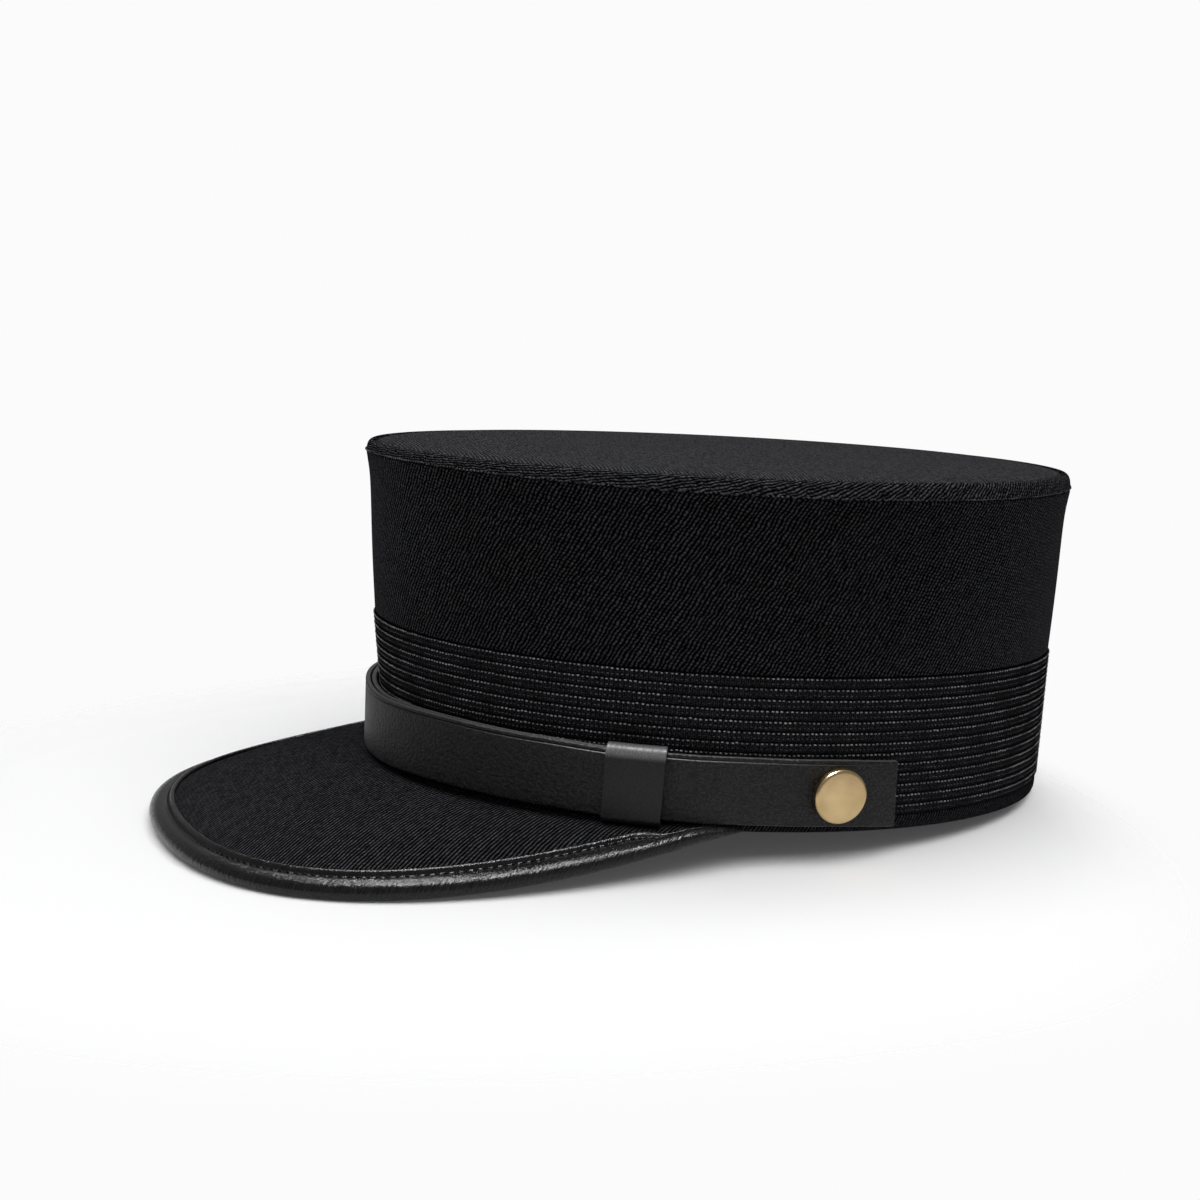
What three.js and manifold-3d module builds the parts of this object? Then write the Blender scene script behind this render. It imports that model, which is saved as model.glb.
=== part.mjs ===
// Conductor cap: a stiff, flat-topped twill crown with a braided band, a bound peak and a leather chin strap.
// Millimetres, +Z up, front towards -Y, the wearer's left towards +X, standing on the peak and the back of the rim.
import * as THREE from "three";
import { mergeVertices } from "three/addons/utils/BufferGeometryUtils.js";
import Module from "manifold-3d";

const wasm = await Module();
wasm.setup();

// Crown outline at three levels: outside lengths and widths, and how far each oval's centre sits to the front
const rimLength = 205;
const rimWidth = 172.5;
const bandLength = 210.6;
const bandWidth = 177.3;
const topLength = 217;
const topWidth = 184.5;
const bandForward = 3.2;
const topForward = 5.3;
const bandTop = 42.5;
const crownHeight = 95;
const topRise = 3.8;

// Cloth thicknesses and the parts sewn to the crown
const gap = 0.3;
const wallThickness = 1.8;
const bandThickness = 1.3;
const bandRows = 13;
const rowGroove = 0.5;
const wallSetback = 0.7;
const wallHollow = 0.3;
const weltThickness = 1.6;
const weltSide = 5.3;
const weltEnds = 3.2;
const weltBulge = 0.2;
const topThickness = 2;
const topDome = 0.8;
const bindingThickness = 0.9;
const rimBindingHeight = 4;
const rimBindingSetback = 0.4;

// Peak and its leather binding
const visorTurn = 71.8;
const visorReach = 65.7;
const visorDrop = 16.3;
const visorEndRise = 1.2;
const visorEndOut = 1.2;
const visorThickness = 2;
const visorSeat = 0.2;
const visorClimb = 4.7;
const edgeRadius = 2.1;
const edgeEndRadius = 1;
const lipReach = 5.9;
const lipHeight = 1.1;
const lipGroove = 0.55;

// Chin strap, keepers and side buttons
const strapWidth = 18.4;
const strapThickness = 1.5;
const strapEndTurn = 96.2;
const strapFrontLean = 2.5;
const keeperThickness = 1.1;
const keeperTurn = 56;
const keeperLength = 15;
const buttonTurn = 86.1;
const buttonDiameter = 15;
const buttonThickness = 2.6;
const buttonNeckDiameter = 6;
const postDiameter = 3;
const postHeadDiameter = 9;
const postHeadThickness = 0.8;

// How the peak's edge bends: shares of the rim's half width, the peak's reach and its drop
const visorBend = [
  { wide: 0, ahead: 1, down: 1 },
  { wide: 0.975, ahead: 1, down: 1 },
  { wide: 0.995, ahead: -0.026, down: 1 },
];

// Height of the strap's lower edge over its lowest clear height, in shares of its width, by turn from the front
const strapLift = [
  { turn: 0, share: 0.01 },
  { turn: 25, share: 0.06 },
  { turn: 42, share: 0.045 },
  { turn: 56, share: 0.005 },
  { turn: 68, share: -0.01 },
  { turn: 84, share: -0.03 },
  { turn: 100, share: -0.08 },
];

// How finely round shapes are divided
const crownSides = 60;
const visorSpans = 30;
const visorRows = 6;
const strapSpans = 44;
const keeperSpans = 2;
const buttonSides = 20;

const up = new THREE.Vector3(0, 0, 1);
const radians = THREE.MathUtils.degToRad;
const clamp = THREE.MathUtils.clamp;
const mix = THREE.MathUtils.lerp;

const colours = {
  twill: { color: 0x17171a, roughness: 0.9, metalness: 0 },
  braid: { color: 0x121214, roughness: 0.85, metalness: 0 },
  leather: { color: 0x232325, roughness: 0.45, metalness: 0 },
  brass: { color: 0xc9a766, roughness: 0.3, metalness: 1 },
};

// One closed body from rings of points: each ring is the same closed section at the next station
function sweep(stations, closed) {
  const count = stations.length;
  const size = stations[0].length;
  const positions = stations.flat().flatMap((point) => point.toArray());
  const index = [];
  const last = closed ? count : count - 1;
  for (let i = 0; i < last; i++) {
    const next = (i + 1) % count;
    for (let j = 0; j < size; j++) {
      const after = (j + 1) % size;
      index.push(i * size + j, next * size + j, next * size + after);
      index.push(i * size + j, next * size + after, i * size + after);
    }
  }
  if (!closed) {
    for (const triangle of capOf(stations[0])) {
      index.push(triangle[0], triangle[1], triangle[2]);
    }
    const start = (count - 1) * size;
    for (const triangle of capOf(stations[count - 1])) {
      index.push(start + triangle[0], start + triangle[2], start + triangle[1]);
    }
  }
  return bodyFrom(positions, index);
}

// Triangles that close a section's end: the section is laid flat in the plane of its own outline
function capOf(section) {
  const normal = new THREE.Vector3();
  for (let j = 0; j < section.length; j++) {
    normal.add(section[j].clone().cross(section[(j + 1) % section.length]));
  }
  normal.normalize();
  const across = section[1].clone().sub(section[0]);
  across.addScaledVector(normal, -across.dot(normal)).normalize();
  const along = normal.clone().cross(across);
  const flat = section.map((point) => new THREE.Vector2(point.dot(across), point.dot(along)));
  return THREE.ShapeUtils.triangulateShape(flat, []);
}

// A body whose faces point outwards, whichever way round its rings were given
function bodyFrom(positions, index) {
  let volume = 0;
  const at = (i) => new THREE.Vector3().fromArray(positions, i * 3);
  for (let i = 0; i < index.length; i += 3) {
    volume += at(index[i]).dot(at(index[i + 1]).cross(at(index[i + 2])));
  }
  if (volume < 0) {
    for (let i = 0; i < index.length; i += 3) {
      [index[i + 1], index[i + 2]] = [index[i + 2], index[i + 1]];
    }
  }
  const body = new THREE.BufferGeometry();
  body.setAttribute("position", new THREE.Float32BufferAttribute(positions, 3));
  body.setIndex(index);
  return body;
}

function solidFrom(body) {
  const bare = new THREE.BufferGeometry();
  bare.setAttribute("position", body.getAttribute("position").clone());
  if (body.index) bare.setIndex(body.index.clone());
  const merged = mergeVertices(bare, 1e-4);
  return new wasm.Manifold(new wasm.Mesh({
    numProp: 3,
    vertProperties: new Float32Array(merged.getAttribute("position").array),
    triVerts: new Uint32Array(merged.index.array),
  }));
}

function cut(body, tools) {
  let solid = solidFrom(body);
  for (const tool of tools) {
    solid = solid.subtract(solidFrom(tool));
  }
  const mesh = solid.getMesh();
  const result = new THREE.BufferGeometry();
  result.setAttribute("position", new THREE.Float32BufferAttribute(mesh.vertProperties, 3));
  result.setIndex(Array.from(mesh.triVerts));
  return result;
}

// A smooth value from a table's rows, the same to both sides of the front
function fromTable(table, turn) {
  const away = Math.abs(turn);
  const row = clamp(table.findIndex((entry) => entry.turn >= away), 1, table.length - 1);
  const [low, high] = [table[row - 1], table[row]];
  const share = THREE.MathUtils.smoothstep(away, low.turn, high.turn);
  return mix(low.share, high.share, share);
}

const levels = [
  { height: 0, length: rimLength, width: rimWidth, forward: 0 },
  { height: bandTop, length: bandLength, width: bandWidth, forward: bandForward },
  { height: crownHeight, length: topLength, width: topWidth, forward: topForward },
];

// A point of the crown at a turn from the front, a height over the rim and a distance out of its skin
function crownPoint(turn, height, out) {
  const upper = height > bandTop;
  const [low, high] = upper ? [levels[1], levels[2]] : [levels[0], levels[1]];
  const share = (height - low.height) / (high.height - low.height);
  const angle = radians(turn);
  const x = (mix(low.width, high.width, share) / 2 + out) * Math.sin(angle);
  const run = (mix(low.length, high.length, share) / 2 + out) * Math.cos(angle);
  const y = -mix(low.forward, high.forward, share) - run;
  const rise = upper ? share * topRise * y / topLength : 0;
  return new THREE.Vector3(x, y, height + rise);
}

// A closed ring round the crown from a section of [out, height] pairs, which may change with the turn
function ringAround(sectionAt) {
  const stations = [];
  for (let i = 0; i < crownSides; i++) {
    const turn = ((i + 0.5) / crownSides) * 360;
    stations.push(sectionAt(turn).map(([out, height]) => crownPoint(turn, height, out)));
  }
  return sweep(stations, true);
}

const wallOuter = -(bandThickness + gap);
const wallInner = wallOuter - wallThickness;
const wallTop = crownHeight - topThickness - gap;
const bandFoot = rimBindingHeight + gap;

function seamHeight(turn) {
  return crownHeight - mix(weltSide, weltEnds, Math.cos(radians(turn)) ** 2);
}

function makeCrownWall() {
  const behindWelt = -(weltThickness + gap);
  const foot = bindingThickness + gap;
  const shoulder = bandTop + gap;
  return ringAround((turn) => {
    const seam = seamHeight(turn) - gap;
    return [
      [wallInner, foot],
      [wallOuter, foot],
      [wallOuter, shoulder],
      [-wallSetback, shoulder],
      [-wallSetback - wallHollow, (shoulder + seam) / 2],
      [-wallSetback, seam],
      [behindWelt, seam],
      [behindWelt, wallTop],
      [wallInner, wallTop],
      [wallInner, shoulder],
    ];
  });
}

function makeTopWelt() {
  const shoulder = weltThickness / 2;
  return ringAround((turn) => {
    const seam = seamHeight(turn);
    return [
      [-weltThickness, seam],
      [-gap, seam],
      [weltBulge, mix(seam, crownHeight, 0.4)],
      [0, crownHeight - shoulder],
      [-shoulder / 2, crownHeight - shoulder / 4],
      [-weltThickness, crownHeight],
    ];
  });
}

function makeCrownTop() {
  const edge = -(weltThickness + gap);
  const centre = new THREE.Vector3(0, -topForward, crownHeight - topRise * topForward / topLength);
  const shares = [1, 0.7, 0.35];
  const stations = [];
  for (let i = 0; i < crownSides; i++) {
    const turn = ((i + 0.5) / crownSides) * 360;
    const rim = crownPoint(turn, crownHeight, edge);
    const upper = shares.map((share) => {
      const point = centre.clone().lerp(rim, share);
      return point.addScaledVector(up, topDome * (1 - share ** 2));
    });
    const lower = upper.map((point) => point.clone().addScaledVector(up, -topThickness));
    lower[0] = crownPoint(turn, crownHeight - topThickness, edge);
    stations.push([...upper, ...lower.reverse()]);
  }
  const sides = sweep(stations, true);
  return closeDisc(sides, stations, centre);
}

// Fills the hole in the middle of the top's ring with a fan above and below
function closeDisc(ring, stations, centre) {
  const size = stations[0].length;
  const inner = size / 2 - 1;
  const positions = Array.from(ring.getAttribute("position").array);
  const index = [];
  const source = ring.index.array;
  const between = (a, b) => {
    const [low, high] = [a % size, b % size].sort((p, q) => p - q);
    return low === inner && high === inner + 1;
  };
  for (let i = 0; i < source.length; i += 3) {
    const [a, b, c] = [source[i], source[i + 1], source[i + 2]];
    const across = [a, b, c].every((k) => k % size === inner || k % size === inner + 1);
    if (across && (between(a, b) || between(b, c) || between(a, c))) continue;
    index.push(a, b, c);
  }
  const top = positions.length / 3;
  positions.push(...centre.clone().addScaledVector(up, topDome).toArray());
  positions.push(...centre.clone().addScaledVector(up, topDome - topThickness).toArray());
  for (let i = 0; i < stations.length; i++) {
    const next = (i + 1) % stations.length;
    index.push(i * size + inner, next * size + inner, top);
    index.push(next * size + inner + 1, i * size + inner + 1, top + 1);
  }
  return bodyFrom(positions, index);
}

function makeBraidBand() {
  const pitch = (bandTop - bandFoot) / bandRows;
  const section = [[-bandThickness, bandTop], [-bandThickness, bandFoot]];
  for (let row = 0; row < bandRows; row++) {
    section.push([-rowGroove, bandFoot + row * pitch]);
    section.push([0, bandFoot + (row + 0.7) * pitch]);
  }
  section.push([-rowGroove, bandTop]);
  return ringAround(() => section);
}

const rimOuter = -rimBindingSetback;
const rimInner = wallInner - gap - bindingThickness;

function makeRimBinding() {
  const corner = bindingThickness * 0.7;
  const section = [
    [rimOuter, rimBindingHeight],
    [wallOuter + gap, rimBindingHeight],
    [wallOuter + gap, bindingThickness],
    [wallInner - gap, bindingThickness],
    [wallInner - gap, rimBindingHeight],
    [rimInner, rimBindingHeight],
    [rimInner, corner],
    [rimInner + corner, 0],
    [rimOuter - corner, 0],
    [rimOuter, corner],
  ];
  return ringAround(() => section);
}

const visorEndPoint = crownPoint(visorTurn, 0, visorEndOut);
const visorPoints = visorBend.map(({ wide, ahead, down }) => new THREE.Vector3(
  wide * rimWidth / 2,
  -rimLength / 2 - ahead * visorReach,
  -down * visorDrop,
));
visorPoints.push(visorEndPoint.clone().setZ(visorClimb));
const visorCurve = new THREE.CubicBezierCurve3(...visorPoints);

// The peak's edge line at a place from -1 at the wearer's right end, over 0 at the front, to 1 at the left.
// It levels off under the strap before it meets the rim.
function edgePoint(place) {
  const point = visorCurve.getPoint(Math.abs(place));
  const below = visorEndRise - point.z;
  point.z = visorEndRise - (below + Math.hypot(below, visorThickness)) / 2;
  if (place < 0) point.x = -point.x;
  return point;
}

function seatPoint(place) {
  const seat = crownPoint(place * visorTurn, 0, 0);
  seat.z = mix(visorSeat, visorEndRise, Math.abs(place) ** 8);
  return seat;
}

// The middle of the peak's thickness, from its seat at the rim (share 0) to its edge line (share 1)
function visorSurface(place, share) {
  const seat = seatPoint(place);
  const point = seat.clone().lerp(edgePoint(place), share);
  point.z = mix(seat.z, edgePoint(place).z, 0.1 * share + 0.9 * share ** 2);
  return point;
}

// A point of the peak a distance back from its edge line along the surface, and lifted off the surface
function visorPoint(place, back, lift) {
  return liftedPoint(place, shareOf(place, back), lift);
}

function liftedPoint(place, share, lift) {
  const step = 0.01;
  const along = visorSurface(place + step, share).sub(visorSurface(place - step, share));
  const outward = visorSurface(place, share + step).sub(visorSurface(place, share - step));
  const normal = outward.cross(along).normalize();
  if (normal.z < 0) normal.negate();
  return visorSurface(place, share).addScaledVector(normal, lift);
}

// Distance from the peak's edge line to the rim, in plan
function edgeClearance(place) {
  const edge = edgePoint(place);
  let nearest = Infinity;
  for (let turn = 0; turn <= 90; turn += 1) {
    const rim = crownPoint(turn, 0, 0);
    nearest = Math.min(nearest, Math.hypot(Math.abs(edge.x) - rim.x, edge.y - rim.y));
  }
  return nearest;
}

// Places along the edge where the peak is divided, closer together at its ends.
// Its binding runs on to the rim past the sheet's two ends.
const visorEnd = 0.92;
const sheetPlaces = [];
for (let i = 0; i <= visorSpans; i++) {
  const even = (2 * i) / visorSpans - 1;
  sheetPlaces.push(visorEnd * mix(even, Math.sin(even * Math.PI / 2), 0.6));
}
const runOn = [1, 2 / 3, 1 / 3].map((share) => mix(visorEnd, 1, share));
const edgePlaces = [...runOn.map((place) => -place), ...sheetPlaces, ...runOn.reverse()];
const sheetInset = edgeRadius / 2 + gap;

function makeVisor() {
  const stations = [];
  for (const place of sheetPlaces) {
    const section = [];
    for (const side of [1, -1]) {
      const lift = side * visorThickness / 2;
      const row = [];
      for (let j = 0; j <= visorRows; j++) {
        row.push(liftedPoint(place, (j / visorRows) * shareOf(place, sheetInset), lift));
      }
      section.push(...(side > 0 ? row : row.reverse()));
    }
    stations.push(section);
  }
  return sweep(stations, false);
}

// The peak's depth at a place, measured square to its edge line
function depthOf(place) {
  const step = 0.01;
  const along = visorSurface(place + step, 1).sub(visorSurface(place - step, 1)).normalize();
  const down = visorSurface(place, 1).sub(visorSurface(place, 1 - step)).divideScalar(step);
  return down.addScaledVector(along, -down.dot(along)).length();
}

// The share of the way to the edge line that lies a distance back from it, square to the edge
function shareOf(place, back) {
  return 1 - back / depthOf(place);
}

function makeVisorBinding() {
  const keeperOut = strapStand(keeperTurn, true) + strapThickness + keeperThickness + 4 * gap;
  const stations = [];
  for (const place of edgePlaces) {
    const full = clamp((1 - Math.abs(place)) / (1 - visorEnd), 0, 1);
    const radius = mix(edgeEndRadius, edgeRadius, full);
    const half = mix(gap, visorThickness / 2 + gap, full);
    const room = depthOf(place) * (1 - keeperOut / edgeClearance(place));
    const reach = clamp(room, radius, lipReach);
    const cavity = Math.min(edgeRadius / 2, reach - gap);
    const middle = (reach + cavity) / 2;
    const rise = (reach - radius) / (lipReach - radius);
    const diagonal = radius * Math.SQRT1_2;
    const section = [
      [reach, half],
      [reach, half + mix(0.3, lipHeight, rise)],
      [reach * 0.75, half + mix(0.2, lipGroove, rise)],
      [0, radius],
      [-diagonal, diagonal],
      [-radius, 0],
      [-diagonal, -diagonal],
      [0, -radius],
      [reach, -half - mix(0.3, lipGroove, rise)],
      [reach, -half],
      [middle, -half],
      [cavity, -half],
      [cavity, half],
      [middle, half],
    ];
    stations.push(section.map(([back, lift]) => visorPoint(place, back, lift)));
  }
  return sweep(stations, false);
}

const strapLowest = visorSeat + visorThickness / 2 + keeperThickness + 2 * gap;
const layer = strapThickness + gap;
const pressed = gap + 0.1;
const carried = pressed + keeperThickness + gap;
const keeperEnds = keeperTurn + 4;
const settleTurn = 78;

function strapFoot(turn) {
  return strapLowest + fromTable(strapLift, turn) * strapWidth;
}

// How far a strap half's inner face stands off the band; the outer half lies over the inner one past its keeper
function strapStand(turn, outer) {
  const away = Math.abs(turn);
  const lifted = 1 - THREE.MathUtils.smoothstep(away, keeperEnds, settleTurn);
  return mix(pressed, carried + (outer ? layer : 0), lifted);
}

function strapLean(turn) {
  const share = clamp(Math.abs(turn) / (keeperTurn - 6), 0, 1);
  return (strapFrontLean / 2) * Math.cos(share * Math.PI / 2) ** 2;
}

// The four corners of a strap's section at a turn
function strapSection(turn, outer, thickness) {
  const foot = strapFoot(turn);
  const stand = strapStand(turn, outer);
  const lean = strapLean(turn);
  const crest = foot + strapWidth;
  return [
    crownPoint(turn, foot, stand + lean),
    crownPoint(turn, foot, stand + lean + thickness),
    crownPoint(turn, crest, stand - lean + thickness),
    crownPoint(turn, crest, stand - lean),
  ];
}

function makeStrap(outer) {
  const side = outer ? -1 : 1;
  const end = keeperTurn + 3;
  const stations = [];
  for (let i = 0; i <= strapSpans; i++) {
    const turn = mix(-end, strapEndTurn, i / strapSpans);
    stations.push(strapSection(side * turn, outer, strapThickness));
  }
  return sweep(stations, false);
}

// A leather loop round both strap halves
function makeKeeper(side) {
  const halfTurn = THREE.MathUtils.radToDeg(keeperLength / 2 / (rimLength / 2)) * 1.04;
  const inside = strapStand(keeperTurn, false) - gap;
  const outside = strapStand(keeperTurn, true) + layer;
  const foot = strapFoot(keeperTurn) - gap;
  const crest = strapFoot(keeperTurn) + strapWidth + gap * 2;
  const round = keeperThickness * 0.6;
  const loop = [
    { inner: [inside, foot], outer: [inside - keeperThickness, foot - round] },
    { inner: [inside, foot], outer: [inside - round, foot - keeperThickness] },
    { inner: [outside, foot], outer: [outside + round, foot - keeperThickness] },
    { inner: [outside, foot], outer: [outside + keeperThickness, foot - round] },
    { inner: [outside, crest], outer: [outside + keeperThickness, crest + round] },
    { inner: [outside, crest], outer: [outside + round, crest + keeperThickness] },
    { inner: [inside, crest], outer: [inside - round, crest + keeperThickness] },
    { inner: [inside, crest], outer: [inside - keeperThickness, crest + round] },
  ];
  const slices = [];
  for (let i = 0; i <= keeperSpans; i++) {
    slices.push(side * (keeperTurn + mix(-halfTurn, halfTurn, i / keeperSpans)));
  }
  const innerLoop = [loop[0], loop[2], loop[4], loop[6]].map((corner) => corner.inner);
  const outerLoop = loop.map((corner) => corner.outer);
  const shell = sweep(slices.map((turn) => outerLoop.map(([out, z]) => crownPoint(turn, z, out))), false);
  const overrun = side * 1;
  const ends = [slices[0] - overrun, ...slices.slice(1, -1), slices[keeperSpans] + overrun];
  const hole = sweep(ends.map((turn) => innerLoop.map(([out, z]) => crownPoint(turn, z, out))), false);
  return cut(shell, [hole]);
}

// The frame of a side button: its axis points out of the band, square to its surface
function buttonFrame(side) {
  const height = strapFoot(buttonTurn) + strapWidth / 2;
  const seat = crownPoint(side * buttonTurn, height, 0);
  const along = crownPoint(side * (buttonTurn + 1), height, 0).sub(crownPoint(side * (buttonTurn - 1), height, 0));
  const rise = crownPoint(side * buttonTurn, height + 1, 0).sub(seat);
  const axis = along.cross(rise).normalize();
  if (axis.x * side < 0) axis.negate();
  const turn = new THREE.Quaternion().setFromUnitVectors(up, axis);
  return new THREE.Matrix4().compose(seat, turn, new THREE.Vector3(1, 1, 1));
}

function lathe(profile, side) {
  const points = profile.map(([radius, height]) => new THREE.Vector2(radius, height));
  const body = new THREE.LatheGeometry(points, buttonSides).rotateX(Math.PI / 2);
  body.deleteAttribute("normal");
  body.deleteAttribute("uv");
  body.applyMatrix4(buttonFrame(side));
  return mergeVertices(body, 1e-4);
}

const buttonBack = pressed + strapThickness + gap;
const buttonFace = buttonBack + buttonThickness;
const insideFace = wallInner - 2 * gap;

function makeButton(side) {
  const rounding = 0.7;
  const radius = buttonDiameter / 2;
  return lathe([
    [0, insideFace - postHeadThickness],
    [postHeadDiameter / 2, insideFace - postHeadThickness],
    [postHeadDiameter / 2, insideFace],
    [postDiameter / 2, insideFace],
    [postDiameter / 2, buttonBack],
    [buttonNeckDiameter / 2, buttonBack],
    [radius - rounding, buttonBack + rounding / 2],
    [radius, buttonBack + rounding * 1.4],
    [radius, buttonFace - rounding],
    [radius - rounding, buttonFace],
    [0, buttonFace],
  ], side);
}

function makePostHole(side) {
  const radius = postDiameter / 2 + gap;
  return lathe([
    [0, insideFace - 4],
    [radius, insideFace - 4],
    [radius, buttonFace],
    [0, buttonFace],
  ], side);
}

const holes = [makePostHole(1), makePostHole(-1)];
const pieces = [
  ["crown_wall", cut(makeCrownWall(), holes), "twill"],
  ["crown_top", makeCrownTop(), "twill"],
  ["top_welt", makeTopWelt(), "twill"],
  ["braid_band", cut(makeBraidBand(), holes), "braid"],
  ["rim_binding", makeRimBinding(), "twill"],
  ["visor", makeVisor(), "twill"],
  ["visor_binding", makeVisorBinding(), "leather"],
  ["strap_inner", cut(makeStrap(false), [holes[0]]), "leather"],
  ["strap_outer", cut(makeStrap(true), [holes[1]]), "leather"],
  ["keeper_left", makeKeeper(1), "leather"],
  ["keeper_right", makeKeeper(-1), "leather"],
  ["button_left", makeButton(1), "brass"],
  ["button_right", makeButton(-1), "brass"],
];

const cap = new THREE.Group();
for (const [name, body, look] of pieces) {
  const mesh = new THREE.Mesh(body, new THREE.MeshStandardMaterial(colours[look]));
  mesh.name = name;
  cap.add(mesh);
}

// The cap tips back until the peak's edge and the back of the rim touch the surface
function restTilt() {
  const heel = levels[0].length / 2 + rimOuter - bindingThickness * 0.7;
  const edge = cap.getObjectByName("visor_binding").geometry.getAttribute("position");
  let tilt = 0;
  for (let i = 0; i < edge.count; i++) {
    tilt = Math.max(tilt, Math.atan2(-edge.getZ(i), heel - edge.getY(i)));
  }
  return tilt;
}

cap.rotation.x = -restTilt();

const conductorCap = new THREE.Group();
conductorCap.add(cap);
conductorCap.updateMatrixWorld(true);
const box = new THREE.Box3().setFromObject(conductorCap, true);
cap.position.set(0, -(box.min.y + box.max.y) / 2, -box.min.z);
conductorCap.updateMatrixWorld(true);

export default conductorCap;
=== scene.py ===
import math
import random

import bpy
from mathutils import Matrix, Vector


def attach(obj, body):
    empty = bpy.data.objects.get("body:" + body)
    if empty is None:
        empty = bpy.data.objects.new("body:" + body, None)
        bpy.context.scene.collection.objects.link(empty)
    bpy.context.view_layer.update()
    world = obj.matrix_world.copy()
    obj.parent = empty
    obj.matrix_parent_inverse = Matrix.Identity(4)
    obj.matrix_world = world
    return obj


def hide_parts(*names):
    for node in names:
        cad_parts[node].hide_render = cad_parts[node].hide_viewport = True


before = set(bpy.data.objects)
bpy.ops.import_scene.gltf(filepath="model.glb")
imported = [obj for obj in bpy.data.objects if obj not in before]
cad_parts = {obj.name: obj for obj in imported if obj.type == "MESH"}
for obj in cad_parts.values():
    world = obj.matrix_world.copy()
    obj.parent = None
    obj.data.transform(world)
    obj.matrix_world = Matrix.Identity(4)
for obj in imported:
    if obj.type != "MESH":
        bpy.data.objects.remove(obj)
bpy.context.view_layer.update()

# Everything is modelled upright in millimetres, front towards -Y and the wearer's left towards +X,
# then tipped back and set down on the table in metres by setDown.
capSize = {
    "rimLength": 205, "rimWidth": 172.5,
    "bandLength": 210.6, "bandWidth": 177.3, "bandForward": 3.2, "bandTop": 42.5,
    "topLength": 217, "topWidth": 184.5, "topForward": 5.3, "topRise": 3.8,
    "height": 95,
    "tipBack": 4.0306, "restY": 30.6346, "restZ": 7.1322,
    "sides": 240,
}


# small helpers for working in edit mode
def pick(piece):
    if bpy.context.object and bpy.context.object.mode != "OBJECT":
        bpy.ops.object.mode_set(mode="OBJECT")
    bpy.ops.object.select_all(action="DESELECT")
    if piece:
        piece.select_set(True)
        bpy.context.view_layer.objects.active = piece


def edit(piece, kind="VERT"):
    pick(piece)
    bpy.ops.object.mode_set(mode="EDIT")
    bpy.ops.mesh.select_mode(type=kind)


def selectWhere(piece, kind, test):
    # selects vertices, edges or faces by their place, and stays in edit mode
    edit(piece, kind)
    bpy.ops.mesh.select_all(action="DESELECT")
    bpy.ops.object.mode_set(mode="OBJECT")
    mesh = piece.data
    if kind == "VERT":
        for vertex in mesh.vertices:
            vertex.select = test(vertex.co)
    elif kind == "EDGE":
        for line in mesh.edges:
            line.select = test(mesh.vertices[line.vertices[0]].co, mesh.vertices[line.vertices[1]].co)
    else:
        for face in mesh.polygons:
            face.select = test(face)
    bpy.ops.object.mode_set(mode="EDIT")


def reshape(piece, rule):
    # moves each vertex to where the rule says
    for vertex in piece.data.vertices:
        vertex.co = rule(vertex.co)
    piece.data.update()


def faceOut(piece):
    edit(piece)
    bpy.ops.mesh.select_all(action="SELECT")
    bpy.ops.mesh.remove_doubles(threshold=0.001)
    bpy.ops.mesh.normals_make_consistent(inside=False)
    bpy.ops.object.mode_set(mode="OBJECT")


def applyModifier(piece, kind, **settings):
    pick(piece)
    modifier = piece.modifiers.new(kind.title(), kind)
    for name, value in settings.items():
        setattr(modifier, name, value)
    bpy.ops.object.modifier_apply(modifier=modifier.name)


def layUv(piece, rule):
    # UV in metres along the cloth or leather; the rule gets a vertex and its face's middle
    mesh = piece.data
    layer = mesh.uv_layers[0] if mesh.uv_layers else mesh.uv_layers.new()
    layer.name = "cloth"
    for face in mesh.polygons:
        for loop in face.loop_indices:
            u, v = rule(mesh.vertices[mesh.loops[loop].vertex_index].co, face)
            layer.data[loop].uv = (u / 1000, v / 1000)


def setDown(piece):
    # tips the finished piece back on to the peak's edge and the back of the rim
    pick(piece)
    piece.rotation_euler = (math.radians(-capSize["tipBack"]), 0, 0)
    piece.location = (0, capSize["restY"] / 1000, capSize["restZ"] / 1000)
    piece.scale = (0.001, 0.001, 0.001)
    bpy.ops.object.transform_apply(location=True, rotation=True, scale=True)


def finishPiece(piece, nodes, materials, angle=35):
    faceOut(piece)
    pick(piece)
    bpy.ops.object.shade_smooth_by_angle(angle=math.radians(angle))
    for material in materials:
        piece.data.materials.append(material)
    setDown(piece)
    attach(piece, "root")
    if nodes:
        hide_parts(*nodes)
    print("made", piece.name, len(piece.data.polygons), "faces")


# the crown's shape
def mix(low, high, share):
    return low + (high - low) * share


def clamp(value, low, high):
    return max(low, min(high, value))


def smooth(low, high, value):
    share = clamp((value - low) / (high - low), 0, 1)
    return share * share * (3 - 2 * share)


def spanOf(table, value):
    # the two rows of a table that a value lies between
    for low, high in zip(table, table[1:]):
        if value <= high[0]:
            break
    return low, high


def ovalAt(height):
    # half width, half length and middle of the crown's outline at a height over the rim
    size = capSize
    if height <= size["bandTop"]:
        share = height / size["bandTop"]
        low = (size["rimWidth"], size["rimLength"], 0)
        high = (size["bandWidth"], size["bandLength"], size["bandForward"])
    else:
        share = (height - size["bandTop"]) / (size["height"] - size["bandTop"])
        low = (size["bandWidth"], size["bandLength"], size["bandForward"])
        high = (size["topWidth"], size["topLength"], size["topForward"])
    return mix(low[0], high[0], share) / 2, mix(low[1], high[1], share) / 2, -mix(low[2], high[2], share)


def riseAt(height, y):
    share = clamp((height - capSize["bandTop"]) / (capSize["height"] - capSize["bandTop"]), 0, 1.1)
    return share * capSize["topRise"] * y / capSize["topLength"]


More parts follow.
